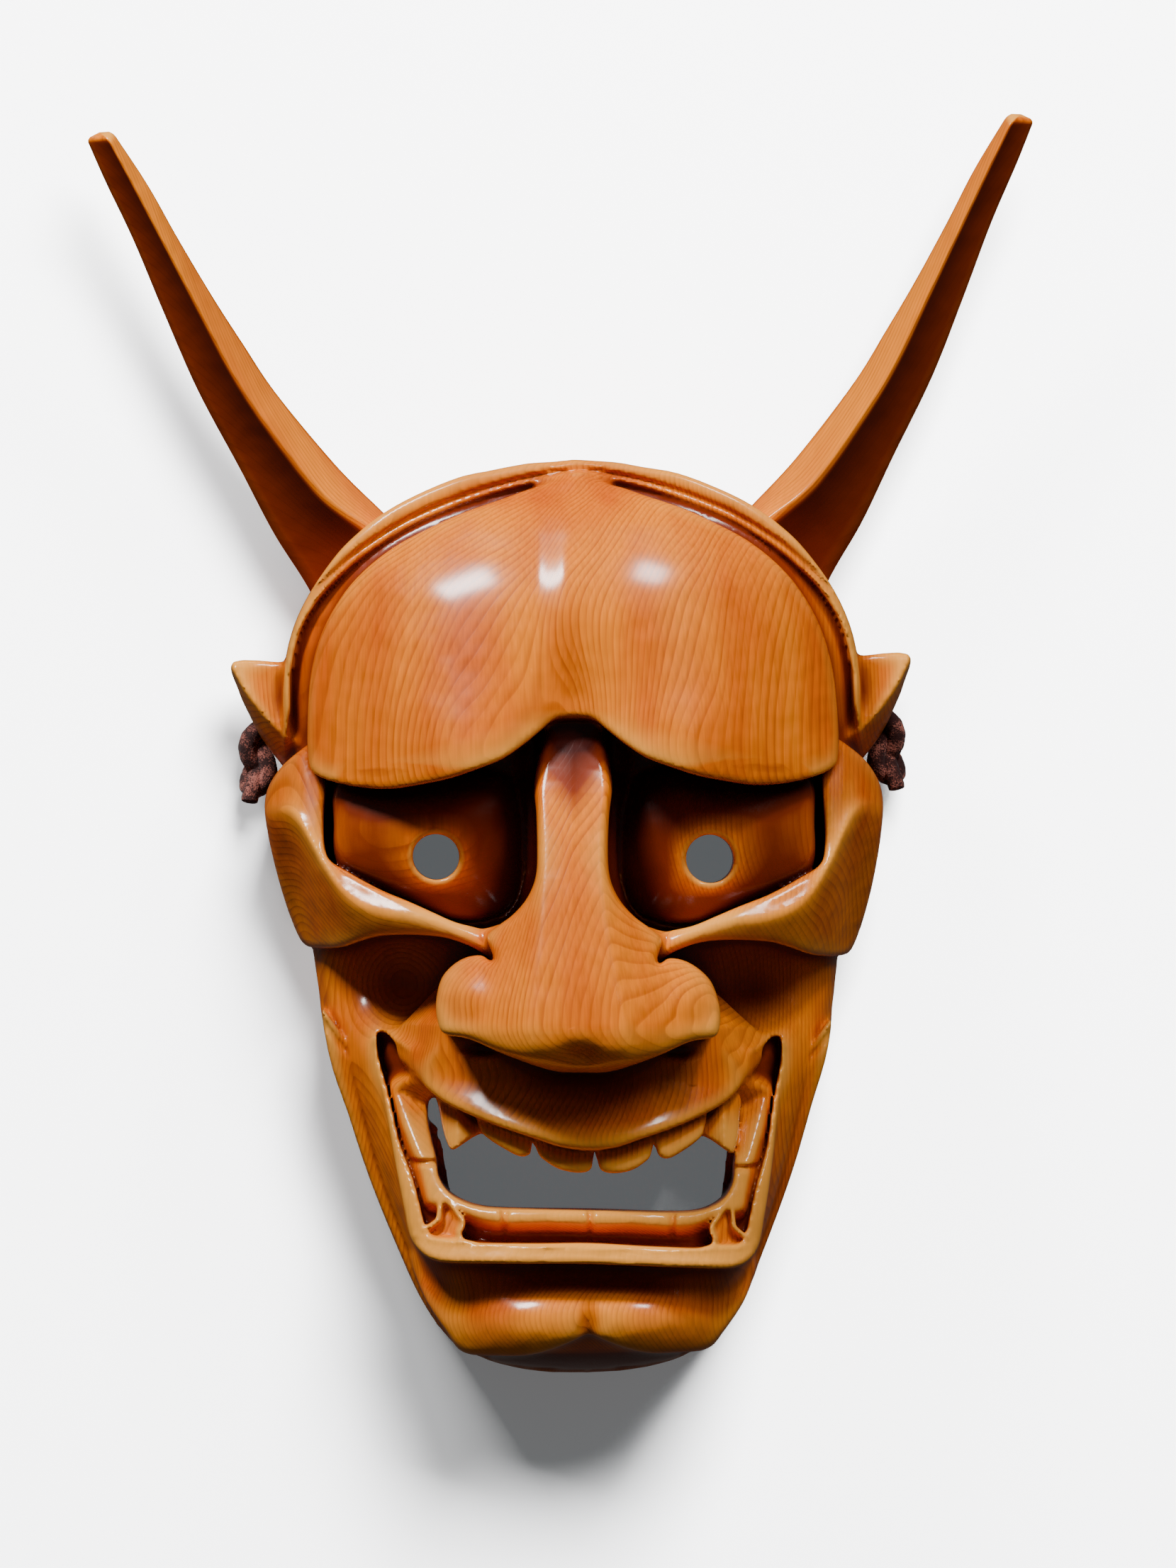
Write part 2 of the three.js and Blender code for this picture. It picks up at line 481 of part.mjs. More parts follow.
function cordAlong(route, radius) {
  const line = new THREE.CatmullRomCurve3(route.map((p) => new THREE.Vector3(...p)));
  const sides = 8;
  const section = new THREE.Shape(Array.from({ length: sides }, (_, k) => new THREE.Vector2(
    radius * Math.cos((2 * Math.PI * k) / sides), radius * Math.sin((2 * Math.PI * k) / sides))));
  const tube = new THREE.ExtrudeGeometry(section, { steps: 26, extrudePath: line });
  return solidOf(tube);
}

const wood = new THREE.MeshStandardMaterial({ color: 0xc4651c, roughness: 0.35, metalness: 0 });
const cotton = new THREE.MeshStandardMaterial({ color: 0x5e2a1c, roughness: 0.9, metalness: 0 });
const mask = new THREE.Group();

function addPiece(name, piece, material) {
  const made = piece.getMesh();
  const geometry = new THREE.BufferGeometry();
  geometry.setAttribute("position", new THREE.BufferAttribute(made.vertProperties, 3));
  geometry.setIndex(new THREE.BufferAttribute(made.triVerts, 1));
  const mesh = new THREE.Mesh(geometry, material.clone());
  mesh.name = name;
  mask.add(mesh);
}
addPiece("mask", face, wood);
addPiece("horn_right", rightHorn, wood);
addPiece("horn_left", rightHorn.mirror([1, 0, 0]), wood);
addPiece("knot_right", knot, cotton);
addPiece("knot_left", knot.mirror([1, 0, 0]), cotton);
addPiece("cord", cordAlong(CORD_ROUTE, CORD.radius), cotton);
// The origin is under the middle of the whole length, from the chin to the horns' tips.
mask.position.y = -(ALONG * (CHIN_LOW + CROWN) + HORN_RISE) / 2;

export default mask;
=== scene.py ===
import math

import bmesh
import bpy
import numpy as np
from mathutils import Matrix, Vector


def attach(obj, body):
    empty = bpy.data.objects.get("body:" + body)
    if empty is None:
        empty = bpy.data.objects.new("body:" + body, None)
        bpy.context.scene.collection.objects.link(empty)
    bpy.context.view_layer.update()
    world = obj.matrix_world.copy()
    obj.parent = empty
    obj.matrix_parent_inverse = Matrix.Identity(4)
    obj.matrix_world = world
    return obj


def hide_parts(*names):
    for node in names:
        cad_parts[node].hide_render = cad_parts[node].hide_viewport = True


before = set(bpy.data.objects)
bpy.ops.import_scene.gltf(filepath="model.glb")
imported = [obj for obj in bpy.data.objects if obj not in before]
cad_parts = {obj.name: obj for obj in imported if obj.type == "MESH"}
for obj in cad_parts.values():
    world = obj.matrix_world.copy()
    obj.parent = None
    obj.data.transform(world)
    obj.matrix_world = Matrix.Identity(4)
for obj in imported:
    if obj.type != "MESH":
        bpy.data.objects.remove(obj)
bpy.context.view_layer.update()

# Camera: it looks down on the mask as it lies on its back rim, from far off with a long lens.
# The mask leans a little to the left in the picture, and shows a trace more of its left side.
# Lengths are in metres here, and PICTURE_HEIGHT is what the picture takes in at the mask.
PICTURE_HEIGHT = 0.4081
AIM = (0.0037, -0.0093, 0.045)
CAMERA_DISTANCE = 4.0
LEAN_LEFT = math.radians(1.15)
SEEN_FROM_LEFT = math.radians(0.5)
SENSOR = 36.0

lens = bpy.data.cameras.new("camera")
lens.sensor_fit = "VERTICAL"
lens.sensor_height = SENSOR
lens.lens = SENSOR * CAMERA_DISTANCE / PICTURE_HEIGHT
lens.clip_end = 20.0
camera = bpy.data.objects.new("camera", lens)
camera.location = (
    AIM[0] - CAMERA_DISTANCE * math.sin(SEEN_FROM_LEFT),
    AIM[1],
    AIM[2] + CAMERA_DISTANCE * math.cos(SEEN_FROM_LEFT),
)
camera.rotation_euler = (0.0, -SEEN_FROM_LEFT, -LEAN_LEFT)
bpy.context.collection.objects.link(camera)
bpy.context.scene.camera = camera

# Cord: red-brown braided cotton, 5 mm thick, from the knot outside one temple through the wall of
# the shell, slack across the hollow behind the face, and out through the other wall to its knot.
# From here on shapes are drawn in millimetres, and FACE_SHIFT moves them up the face into the frame.
MM = 0.001
FACE_SHIFT = 1.25
CORD_RADIUS = 2.5
CORD_Y, CORD_Z, CORD_LOW = -3.0, 11.0, 3.0
CORD_END = 74.85
CORD_ROUTE = [
    (-CORD_END, CORD_Y, CORD_Z), (-71, CORD_Y, CORD_Z), (-66, CORD_Y, CORD_Z), (-61, -3.2, 10.2),
    (-56, -4.2, 8), (-51, -5.6, 5.4), (-45.5, -7.6, 3.6), (-39, -9.6, CORD_LOW), (-31, -11.4, CORD_LOW),
    (-21, -13, CORD_LOW), (-10, -14.2, CORD_LOW), (2, -14.8, CORD_LOW), (13, -14.2, CORD_LOW),
    (24, -12.8, CORD_LOW), (33.5, -10.8, CORD_LOW), (41, -8.6, CORD_LOW), (47, -6.6, 3.8),
    (52, -4.9, 5.6), (56.5, -3.7, 8.2), (61, -3.1, 10.2), (66, CORD_Y, CORD_Z), (71, CORD_Y, CORD_Z),
    (CORD_END, CORD_Y, CORD_Z),
]
PLAITS = 4
PLAIT_LENGTH = 2.6
PLAIT_DEPTH = 0.1
END_LENGTH = 0.6
COTTON = (0.035, 0.006, 0.005)
COTTON_WORN = (0.46, 0.15, 0.11)


def flowing(points, steps):
    """Catmull-Rom curve through the points, with the given steps between each two of them."""
    p = np.array(points, float)
    p = np.vstack([2 * p[0] - p[1], p, 2 * p[-1] - p[-2]])
    before, start, end, after = (p[i:len(p) - 3 + i, None, :] for i in range(4))
    s = (np.arange(steps) / steps)[None, :, None]
    inner = 0.5 * (2 * start + (end - before) * s + (2 * before - 5 * start + 4 * end - after) * s**2
                   + (3 * start - before - 3 * end + after) * s**3)
    return np.vstack([inner.reshape(-1, p.shape[1]), p[-2:-1]])


def mesh_object(name, corners, faces):
    """A smooth mesh object from corners in millimetres of the face's own frame and faces of four."""
    faces = np.asarray(faces, np.int32)
    mesh = bpy.data.meshes.new(name)
    mesh.vertices.add(len(corners))
    mesh.vertices.foreach_set("co", ((np.asarray(corners) + (0, FACE_SHIFT, 0)) * MM).ravel())
    mesh.loops.add(faces.size)
    mesh.loops.foreach_set("vertex_index", faces.ravel())
    mesh.polygons.add(len(faces))
    mesh.polygons.foreach_set("loop_start", np.arange(len(faces)) * faces.shape[1])
    mesh.polygons.foreach_set("use_smooth", np.ones(len(faces), bool))
    mesh.update(calc_edges=True)
    mesh.validate()
    made = bpy.data.objects.new(name, mesh)
    bpy.context.collection.objects.link(made)
    return made


def grid_faces(rows, columns):
    """Faces of a grid whose columns close into rings, one ring of corners for each row."""
    row, column = np.meshgrid(np.arange(rows - 1), np.arange(columns), indexing="ij")
    here, beside = row * columns + column, row * columns + (column + 1) % columns
    return np.stack([here, here + columns, beside + columns, beside], -1).reshape(-1, 4)


def tube(line, radius, sides):
    """A plaited tube along a line: its radius times 1 less the plaits' depth, and that depth times their
    pillows, the root of |sin(n a + k s) sin(n a - k s)| at angle a and distance s along the line. The
    section is carried along without twisting, and both ends are drawn in to a point."""
    step = np.linalg.norm(np.diff(line, axis=0), axis=1)
    along = np.concatenate([[0], np.cumsum(step)])
    tangent = np.gradient(line, axis=0)
    tangent /= np.linalg.norm(tangent, axis=1, keepdims=True)
    side = np.empty_like(line)
    ahead = np.cross(tangent[0], (0.0, 0.3, 1.0))
    for i, direction in enumerate(tangent):
        ahead = ahead - direction * (ahead @ direction)
        ahead = ahead / np.linalg.norm(ahead)
        side[i] = ahead
    up = np.cross(side, tangent)
    angle = np.arange(sides) * 2 * np.pi / sides
    turn, far = np.meshgrid(PLAITS * angle, np.pi * along / PLAIT_LENGTH)
    pillow = np.sqrt(np.abs(np.sin(turn + far) * np.sin(turn - far)))
    end = np.clip(np.minimum(along, along[-1] - along) / END_LENGTH, 0, 1)[:, None]
    reach = radius * (1 - PLAIT_DEPTH + PLAIT_DEPTH * pillow) * np.sqrt(1 - (1 - end) ** 2)
    ring = np.cos(angle)[None, :, None] * side[:, None] + np.sin(angle)[None, :, None] * up[:, None]
    corners = line[:, None] + reach[..., None] * ring
    return corners.reshape(-1, 3), grid_faces(len(line), sides)


def merged(piece):
    """A piece with the corners that lie on one another joined, so that its poles are closed."""
    shape = bmesh.new()
    shape.from_mesh(piece.data)
    bmesh.ops.remove_doubles(shape, verts=shape.verts, dist=1e-7)
    shape.to_mesh(piece.data)
    shape.free()
    return piece


def nodes_for(name):
    """A new material, with a function that adds a node to it: its inputs take values or other nodes'
    outputs, and its own settings come by name."""
    made = bpy.data.materials.new(name)
    made.use_nodes = True
    tree = made.node_tree

    def put(kind, inputs, **settings):
        """Adds one node with its settings, and gives each input its value or its link."""
        node = tree.nodes.new(kind)
        for key, value in settings.items():
            setattr(node, key, value)
        for key, value in inputs.items():
            if isinstance(value, bpy.types.NodeSocket):
                tree.links.new(value, node.inputs[key])
            else:
                node.inputs[key].default_value = value
        return node
    return made, tree.nodes["Principled BSDF"], put


def cotton_material():
    """Twisted red-brown cotton, with paler worn fibres in fine specks and broad patches."""
    made, shader, put = nodes_for("cord_cotton")
    place = put("ShaderNodeTexCoord", {}).outputs["Object"]
    fibre = put("ShaderNodeTexNoise", {"Vector": place, "Scale": 2600.0, "Detail": 3.0})
    patch = put("ShaderNodeTexNoise", {"Vector": place, "Scale": 260.0, "Detail": 2.0})
    both = put("ShaderNodeMath", {0: fibre.outputs["Fac"], 1: patch.outputs["Fac"]},
               operation="MULTIPLY")
    worn = put("ShaderNodeMapRange", {"Value": both.outputs[0], "From Min": 0.24, "From Max": 0.36})
    colour = put("ShaderNodeMix", {0: worn.outputs[0], 6: (*COTTON, 1), 7: (*COTTON_WORN, 1)},
                 data_type="RGBA")
    bump = put("ShaderNodeBump", {"Height": fibre.outputs["Fac"], "Strength": 0.8, "Distance": 0.0004})
    made.node_tree.links.new(colour.outputs[2], shader.inputs["Base Color"])
    made.node_tree.links.new(bump.outputs["Normal"], shader.inputs["Normal"])
    shader.inputs["Roughness"].default_value = 0.85
    shader.inputs["Sheen Weight"].default_value = 0.1
    return made


cotton = cotton_material()
cord_line = flowing(CORD_ROUTE, 22)
cord = merged(mesh_object("cord_braid", *tube(cord_line, CORD_RADIUS, 32)))
cord.data.materials.append(cotton)
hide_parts("cord")
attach(cord, "root")

# Knots: the cord's two ends, each tied in a tight overhand knot that bears on the side wall outside
# its hole. A short cut end stands out of each knot.
KNOT_OUT = 7.6
KNOT_WIDE = 2.66
KNOT_TALL = 2.9
KNOT_DEEP = 4.0
TAIL_THIN = 0.9


def knotted(name, sign):
    """A tight overhand knot: the line (sin t + 2 sin 2t, cos t - 2 cos 2t, -sin 3t), with its own size
    along the wall, up from the floor and out from the wall, and a cut end that leaves it downwards."""
    t = np.linspace(0, 2 * np.pi, 260)
    out = -KNOT_WIDE * np.sin(3 * t)
    tall = KNOT_TALL * (np.sin(t) + 2 * np.sin(2 * t))
    deep = KNOT_DEEP * (np.cos(t) - 2 * np.cos(2 * t)) / 3
    middle = np.array([sign * (CORD_END + KNOT_OUT), CORD_Y, CORD_Z])
    loop = middle + np.stack([sign * out, tall, deep], -1)
    tail = middle + np.array([[0, -2, 1], [sign * 1, -6, 3], [sign * 2, -9, 4.5], [sign * 2.5, -11.5, 5]])
    loop_corners, loop_faces = tube(loop, CORD_RADIUS, 24)
    tail_corners, tail_faces = tube(flowing(tail, 12), TAIL_THIN * CORD_RADIUS, 24)
    made = mesh_object(name, np.vstack([loop_corners, tail_corners]),
                       np.vstack([loop_faces, tail_faces + len(loop_corners)]))
    made.data.materials.append(cotton)
    return merged(made)


for sign, side_name in ((-1, "left"), (1, "right")):
    knot = knotted("knot_cotton_" + side_name, sign)
    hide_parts("knot_" + side_name)
    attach(knot, "root")

# Mask: one block of light straight-grained wood, carved hollow and varnished amber. The hair band,
# brow, eyes, nose, cheekbones, lips, teeth, chin and ears are all cut from the block. Each of them
# is a plate: a surface z = top(x, y) that ends at its own outline. The knife leaves soft edges.
GRAIN = 0.8
MASK_TRIANGLES = 190000

# Outlines of the plates. Those of forms in the middle of the face give the right half, from the top
# down. Those of paired forms go right round one of the two.
HEAD = [
    (0, 73.2), (11, 72.6), (20, 71), (28.6, 69.3), (39, 65.2), (47.8, 60.6), (55.5, 54.8), (61.8, 48.3),
    (69.2, 37.5), (73.6, 26.5), (75.3, 14), (75, 0), (73.5, -10.5), (71.4, -30.9), (68.8, -54.4),
    (65.3, -79.9), (60.4, -96.2), (55.3, -112.6), (49.1, -128.9), (42.9, -143.2), (36.4, -153.4),
    (28, -159.6), (15.8, -163.5), (0, -164.6),
]
FOREHEAD = [
    (0, 68), (10.5, 66.5), (19.3, 63.6), (28.2, 60.5), (37.3, 56.4), (46.1, 51.7), (54, 45.5), (60.1, 38.4),
    (65.2, 29.2), (68.3, 18), (69.3, 6), (69.3, -3), (67.5, -8), (59.2, -11.1), (48, -12.3), (36.7, -10.7),
    (30.6, -9.3), (24.5, -7.2), (18.4, -4.8), (13.1, -1.3), (8.8, 2.1), (4.9, 5.2), (0, 6.4),
]
BAND_INSIDE = [
    (0, 68.8), (7.4, 67.9), (16.5, 66), (25.3, 63.4), (34.1, 60.1), (43, 56), (52.1, 50.3), (58, 45.6),
    (65, 38.5), (70.3, 29.8), (73, 19), (73.4, 9), (74, -60), (0, -120),
]
CHEEKBONE = [
    (66, 1), (72, -2), (77.5, -7), (80.8, -13.6), (80.6, -22.8), (77.9, -37), (74.3, -49.3), (71.5, -54.6),
    (67, -55.6), (61, -55), (56, -53.2), (51, -51.7), (45, -51.2), (39, -51.2), (33, -51.8), (27, -53.8),
    (23, -56.2), (20.5, -58.7), (20.5, -54), (22.5, -50), (24.5, -48.7), (30.6, -47.2), (36.7, -44.6),
    (42.9, -41.9), (49, -39.5), (54, -37), (58.2, -34.6), (63, -31.7), (64.6, -28), (64.8, -20), (64, -6),
]
EYEBALL = [
    (12.6, -8), (12, -18), (11.8, -28), (12.9, -36), (16.4, -42.5), (22.8, -46.6), (30.6, -46.9),
    (36.7, -44.8), (42.9, -42.1), (49, -39.7), (54, -37.2), (58.2, -34.8), (62, -31.5), (62.4, -22),
    (60.5, -8), (40, -6),
]
NOSE = [
    (0, 9), (6, 5), (9, -2), (10.6, -11.5), (9.9, -18.7), (9.6, -27.8), (10, -34.9), (12.3, -40.5),
    (16, -44.8), (20, -47.8), (23, -51), (21.5, -56.5), (24, -55.3), (28, -55.8), (32, -58), (35.3, -61.8),
    (36.9, -67.7), (36.7, -73), (34.8, -76.4), (28.3, -77.6), (18.8, -81.8), (7.9, -85.5), (0, -85.9),
]
MUZZLE = [
    (0, -62), (30, -62), (38, -60), (50, -64), (56, -70), (55, -76), (52.6, -77.2), (49.8, -80.2),
    (46.6, -83.7), (43.8, -86.2), (41, -89.4), (38, -92.2), (34, -94.8), (28, -97.6), (22, -99.9),
    (17, -101.6), (13, -102.9), (8, -104.6), (3, -105.5), (0, -105.6),
]
MOUTH = [
    (0, -100), (28, -92), (44, -81), (53, -77), (52.9, -84), (51.9, -90), (50.6, -98), (49.3, -107),
    (48, -115), (46.7, -122), (45.3, -129), (43, -132.8), (39.5, -135), (34, -135.6), (20, -135.3),
    (0, -134.9),
]
LIP_INSIDE = [
    (0, -100), (28, -92), (40, -82), (50.5, -76.5), (52.5, -77.6), (52.2, -83), (50.8, -89), (49.4, -95.5),
    (47.8, -104), (45.9, -110), (44.3, -115), (42.6, -122), (41.5, -126.5), (39, -129.5), (35, -130.3),
    (28, -130.4), (13, -130), (0, -129.6),
]
MOUTH_HOLE = [
    (0, -100), (10, -99.5), (20, -97), (30, -93), (38.5, -91), (40.2, -97), (39.7, -103), (38.5, -109),
    (38.2, -113), (36.3, -116.8), (33, -119.4), (28, -121), (20, -121.4), (0, -121.2),
]
LOWER_TEETH = [
    (0, -124.6), (10, -124.4), (22, -124.8), (28, -124), (32.5, -122), (36.5, -120.2), (40.2, -120.2),
    (41.4, -116), (42.4, -110.5), (44.2, -106.5), (48.2, -95), (49, -90), (38, -88), (0, -92),
]
CHIN = [
    (0, -133), (30, -133), (44, -134), (42.4, -143.2), (36, -153), (31.5, -157.9), (23, -158.6),
    (15.8, -158.5), (9.5, -157), (3, -154.4), (0, -153.3),
]
EAR = [
    (62, 21), (74, 21.4), (88.2, 21.8), (87, 14), (84.5, 8), (81.5, 2), (77.5, -3.5), (73, -7.5), (62, -9),
]
UPPER_FANG = [(38.6, -91), (38.8, -97), (37.8, -103.2), (36.4, -106.3), (35, -105.7), (31, -103),
              (26, -99.8), (27.5, -93)]
LOWER_FANG = [(27.4, -130.5), (31.5, -124.6), (36.4, -118), (38, -119), (38.8, -124.5), (39.4, -130.5)]
INNER_TOOTH = [(0.8, -101), (0.8, -109), (1.8, -111), (5, -111.5), (9.2, -110.7), (12.4, -108.9),
               (14.7, -106.3), (14.9, -99)]
OUTER_TOOTH = [(16.2, -98), (16.2, -105.3), (17.2, -107.3), (19.5, -107.5), (23, -105.7), (26.8, -103.2),
               (28.8, -100.8), (29, -95)]
SIDE_WALL = 9.0
LIP_DEEP = 9.0
UNDER_EAR = 20.0
UNDERCUT_DEPTH = 12.0
PUPIL_X, PUPIL_Y, PUPIL_RADIUS = 35.5, -30.3, 6.1
CORD_HOLE = 3.2
BAND_STRIP, STRIP_GROOVE = 1.9, 0.9
BITE_SHIFT = 1.7
FANG_ARRIS = 34.5
TOOTH_GAP = 0.9
FRONT_GAP_X, SIDE_GAP_Y, ROW_CORNER_Y = 21.8, -109.8, -118.0
NEAR_REACH, FAR_REACH = 3.2, 9.6


def curve(*pairs):
    """Smooth function through pairs (where, value), cubic between them and level beyond both ends."""
    p = np.array(sorted(pairs), float)
    at, value = p[:, 0], p[:, 1]
    slope = np.gradient(value, at)

    def read(t):
        """The cubic between the two pairs round t, from their values and slopes."""
        t = np.clip(t, at[0], at[-1])
        i = np.clip(np.searchsorted(at, t) - 1, 0, len(at) - 2)
        h = at[i + 1] - at[i]
        s = (t - at[i]) / h
        return ((2 * s**3 - 3 * s**2 + 1) * value[i] + (s**3 - 2 * s**2 + s) * h * slope[i]
                + (3 * s**2 - 2 * s**3) * value[i + 1] + (s**3 - s**2) * h * slope[i + 1])
    return read


def rise(low, high, t):
    """Smooth step from 0 at low to 1 at high."""
    s = np.clip((t - low) / (high - low), 0, 1)
    return s * s * (3 - 2 * s)


def swell(u, v, reach_u, reach_v):
    """Round swelling: e to the minus (u / reach_u)^2 + (v / reach_v)^2."""
    return np.exp(-(u / reach_u) ** 2 - (v / reach_v) ** 2)


def past(outline, x, y, both=True):
    """Signed distance from the flowing curve through an outline, less than 0 inside. With both, the
    outline is a right half, and its mirrored left half closes it."""
    p, steps = list(outline), 4
    if both:
        p += [(-u, v) for u, v in reversed(p) if u > 0.01]
    p = flowing(p[-2:] + p + p[:2], steps)[2 * steps:-2 * steps]
    nearest = np.full(x.shape, 1e9)
    inside = np.zeros(x.shape, bool)
    for (ax, ay), (bx, by) in zip(p, np.roll(p, -1, axis=0)):
        ex, ey = bx - ax, by - ay
        length = ex * ex + ey * ey
        if length < 1e-12:
            continue
        t = np.clip(((x - ax) * ex + (y - ay) * ey) / length, 0, 1)
        nearest = np.minimum(nearest, (x - ax - t * ex) ** 2 + (y - ay - t * ey) ** 2)
        if ay != by:
            inside ^= ((ay > y) != (by > y)) & (x < ax + (y - ay) * ex / ey)
    return np.sqrt(nearest) * np.where(inside, -1, 1)


def meet(a, b, soft):
    """The larger of a and b, with a fillet: plus (soft - |a - b|)^2 / (4 soft) where they are close."""
    h = np.maximum(soft - np.abs(a - b), 0)
    return np.maximum(a, b) + h * h / (4 * soft)


def join(a, b, soft):
    """The smaller of a and b with the same fillet."""
    return -meet(-a, -b, soft)


# The grid over the block. In the face's own x and y the centreline wanders, and below the brow
# everything on the right lies a little lower. a is the distance from the centreline.
xs = np.arange(-91.2, 91.3, GRAIN)
ys = np.arange(-168.0, 76.1, GRAIN)
zs = np.arange(-1.6, 107.3, GRAIN).astype(np.float32)
grid_x, grid_y = np.meshgrid(xs, ys, indexing="ij")
wander = curve((73, 2.6), (50, 1.2), (26, 0.2), (0, 0), (-30, -1.0), (-62, -0.8), (-90, 0.6),
               (-108, 1.6), (-135, 1.4), (-155, 0.8))(grid_y)
slant = curve((60, 0.0), (10, 0.010), (-12, 0.010), (-30, 0.028), (-100, 0.030), (-135, 0.042), (-160, 0.0))
head_half = curve(*[(v, u) for u, v in HEAD])
inward = 1 - np.clip(np.abs(grid_x) / np.maximum(head_half(grid_y), 1), 0, 1) ** 2
x = grid_x - wander * inward
y = grid_y + slant(grid_y) * grid_x
a = np.abs(x)
half_here = np.maximum(head_half(y), 1)
d_head = past(HEAD, x, grid_y)
share = np.clip(a / half_here, 0, 1)

# Heights of the plates over the table. The body falls from its middle to its edge by a high power of
# the share of the head's half width, so it stays full right to its sides.
body_edge = curve((75, 36), (40, 36), (0, 34), (-30, 31), (-60, 28), (-80, 30), (-100, 32), (-120, 35),
                  (-140, 40), (-155, 44), (-166, 44))(y)
body_middle = curve((75, 38), (40, 52), (0, 56), (-30, 53), (-50, 52), (-62, 52), (-80, 60), (-100, 66),
                    (-120, 73), (-136, 75), (-150, 74), (-156, 66), (-161, 56), (-166, 44))(y)
body_round = curve((-55, 4), (-85, 5.5), (-150, 6))(y)
body_top = (body_edge + (body_middle - body_edge) * (1 - share**body_round)
            - 9 * swell(a - 47, y + 65, 13, 13) + 7 * swell(a - 11, y + 28, 3.5, 20))

# The brow bulges over each eye, is creased in the middle, and stands fuller on its upper right.
brow_ridge = curve((70, 45), (66, 48), (60, 55.3), (50, 63.2), (40, 69.3), (28, 74), (15, 77.4), (5, 79.2),
                   (-5, 80.2), (-13, 80))(y)
brow_fall = curve((70, 18), (50, 26), (30, 31), (10, 32), (-4, 30), (-12, 27))(y)
brow_half = curve((70, 52), (60, 56), (45, 66), (30, 70), (10, 72), (-12, 72))(y)
forehead_top = (brow_ridge - brow_fall * (a / brow_half) ** 2.5 + 5 * swell(a - 29, y + 6, 19, 20)
                - 4.5 * swell(a, 0, 9, 1) * rise(45, -2, y)
                + 1.9 * rise(-10, -1, x) * rise(45, 0, x) * rise(8, 34, y))

# The hair band runs nearly level over the crown and down both temples.
band_top = curve((75, 43), (60, 44), (30, 43), (10, 42), (-10, 40))(y)

# The nose has a flat bridge between sloping flanks, and two round wings that meet its tip.
nose_ridge = curve((10, 66), (5, 69), (-2, 73), (-12, 78.7), (-22, 83.7), (-35, 89.6), (-50, 95.7),
                   (-62, 100), (-70, 102.5), (-76, 103.5), (-81, 101.8), (-85, 96.5), (-88, 92))(y)
nose_slope = curve((5, 0.9), (-10, 1.4), (-30, 1.4), (-45, 0.95), (-60, 0.6), (-86, 0.5))(y)
nose_flat = curve((5, 5), (-12, 7.8), (-30, 7), (-45, 7.5), (-60, 9), (-76, 11))(y)
bridge_top = nose_ridge - 0.1 * a - nose_slope * (np.hypot(np.maximum(a - nose_flat, 0), 2) - 2)
wing_top = 91 - ((a - 25) ** 2 + (y + 68) ** 2) / 13
nose_top = meet(bridge_top, wing_top, 4) - 2.2 * swell(a, y + 80.5, 4.5, 2.4)

# Each cheekbone is an arched bar with a crest line, steep above it towards the eye and below it.
cheek_crest = curve((15, 74), (22, 74.5), (30, 74), (45, 71), (60, 64), (70, 55), (78, 44), (82, 36))(a)
cheek_line = curve((20, -56.5), (24, -53.5), (30, -50.2), (36, -48), (42, -46.4), (49, -45.4),
                   (55, -43.6), (61, -39), (66, -31), (72, -20), (82, -18))(a)
above = y - cheek_line
cheekbone_top = (cheek_crest - 0.002 * above**2
                 - 1.1 * np.where(above > 0, 1 - swell(above, 0, 2.6, 1), 0)
                 - np.where(above > 0, 0.36, 0.8) * (np.hypot(above, 2) - 2))

# Each eyeball is a shallow dome, highest just above its pupil.
eyeball_top = 66.5 - 9 * (((a - 36) / 27) ** 2 + ((y + 27) / 22) ** 2)

# The upper lip swells down to its edge over the teeth, and breaks at a fold at each side.
lip_ridge = curve((-60, 72), (-72, 76), (-80, 77.5), (-88, 78.5), (-95, 82), (-102, 86), (-106, 87))(y)
fold_line = curve((-60, 33), (-70, 35), (-78, 36.8), (-84, 40), (-90, 41.5), (-106, 41.5))(y)
muzzle_top = (lip_ridge - 10 * (a / 40) ** 2.2
              - 1.25 * (np.hypot(np.maximum(a - fold_line + 1.2, 0), 1) - 1)
              - 1.2 * np.maximum(y + 74, 0))

# The chin is a wide bar with a small cleft at the bottom.
chin_ridge = curve((-128, 70), (-136, 74.5), (-139, 75.5), (-144, 80.5), (-149, 83), (-154, 82.5),
                   (-158, 80), (-162, 76))(y)
chin_top = (chin_ridge - 13 * (a / 34) ** 2.6 + 0.5 * swell(a - 17, y + 150, 9, 8)
            - 3.2 * swell(a, 0, 2.6, 1) * rise(-143, -153, y))

# The lips round the mouth rise to the middle and the bottom. The upper teeth and fangs hang a little
# to the right of the centreline.
lip_top = (84 - 14 * (np.minimum(a, 60) / 46) ** 2.5 - 14 * rise(-130, -80, y)
           + 0.5 * np.maximum(-129.5 - y, 0))
bite = np.abs(x - BITE_SHIFT)
tooth_top = 80.5 - 9 * (bite / 36) ** 2 - 0.3 * (y + 104)
fang_slope = np.where(bite > FANG_ARRIS, 1.2, 0.35)
fang_top = 72 - 0.35 * (y + 106) - fang_slope * np.abs(bite - FANG_ARRIS)

# Each ear is a pointed leaf with a rib along it and a bowl above the rib.
ear_ridge = curve((66, -3), (72, 0.5), (77, 4), (81, 8.5), (85, 14), (89, 21))(a)
ear_above = y - ear_ridge
ear_top = (40 - 0.35 * (a - 68) - np.where(ear_above > 0, 0.42, -1.3) * ear_above
           + 0.012 * np.maximum(ear_above, 0) ** 2)

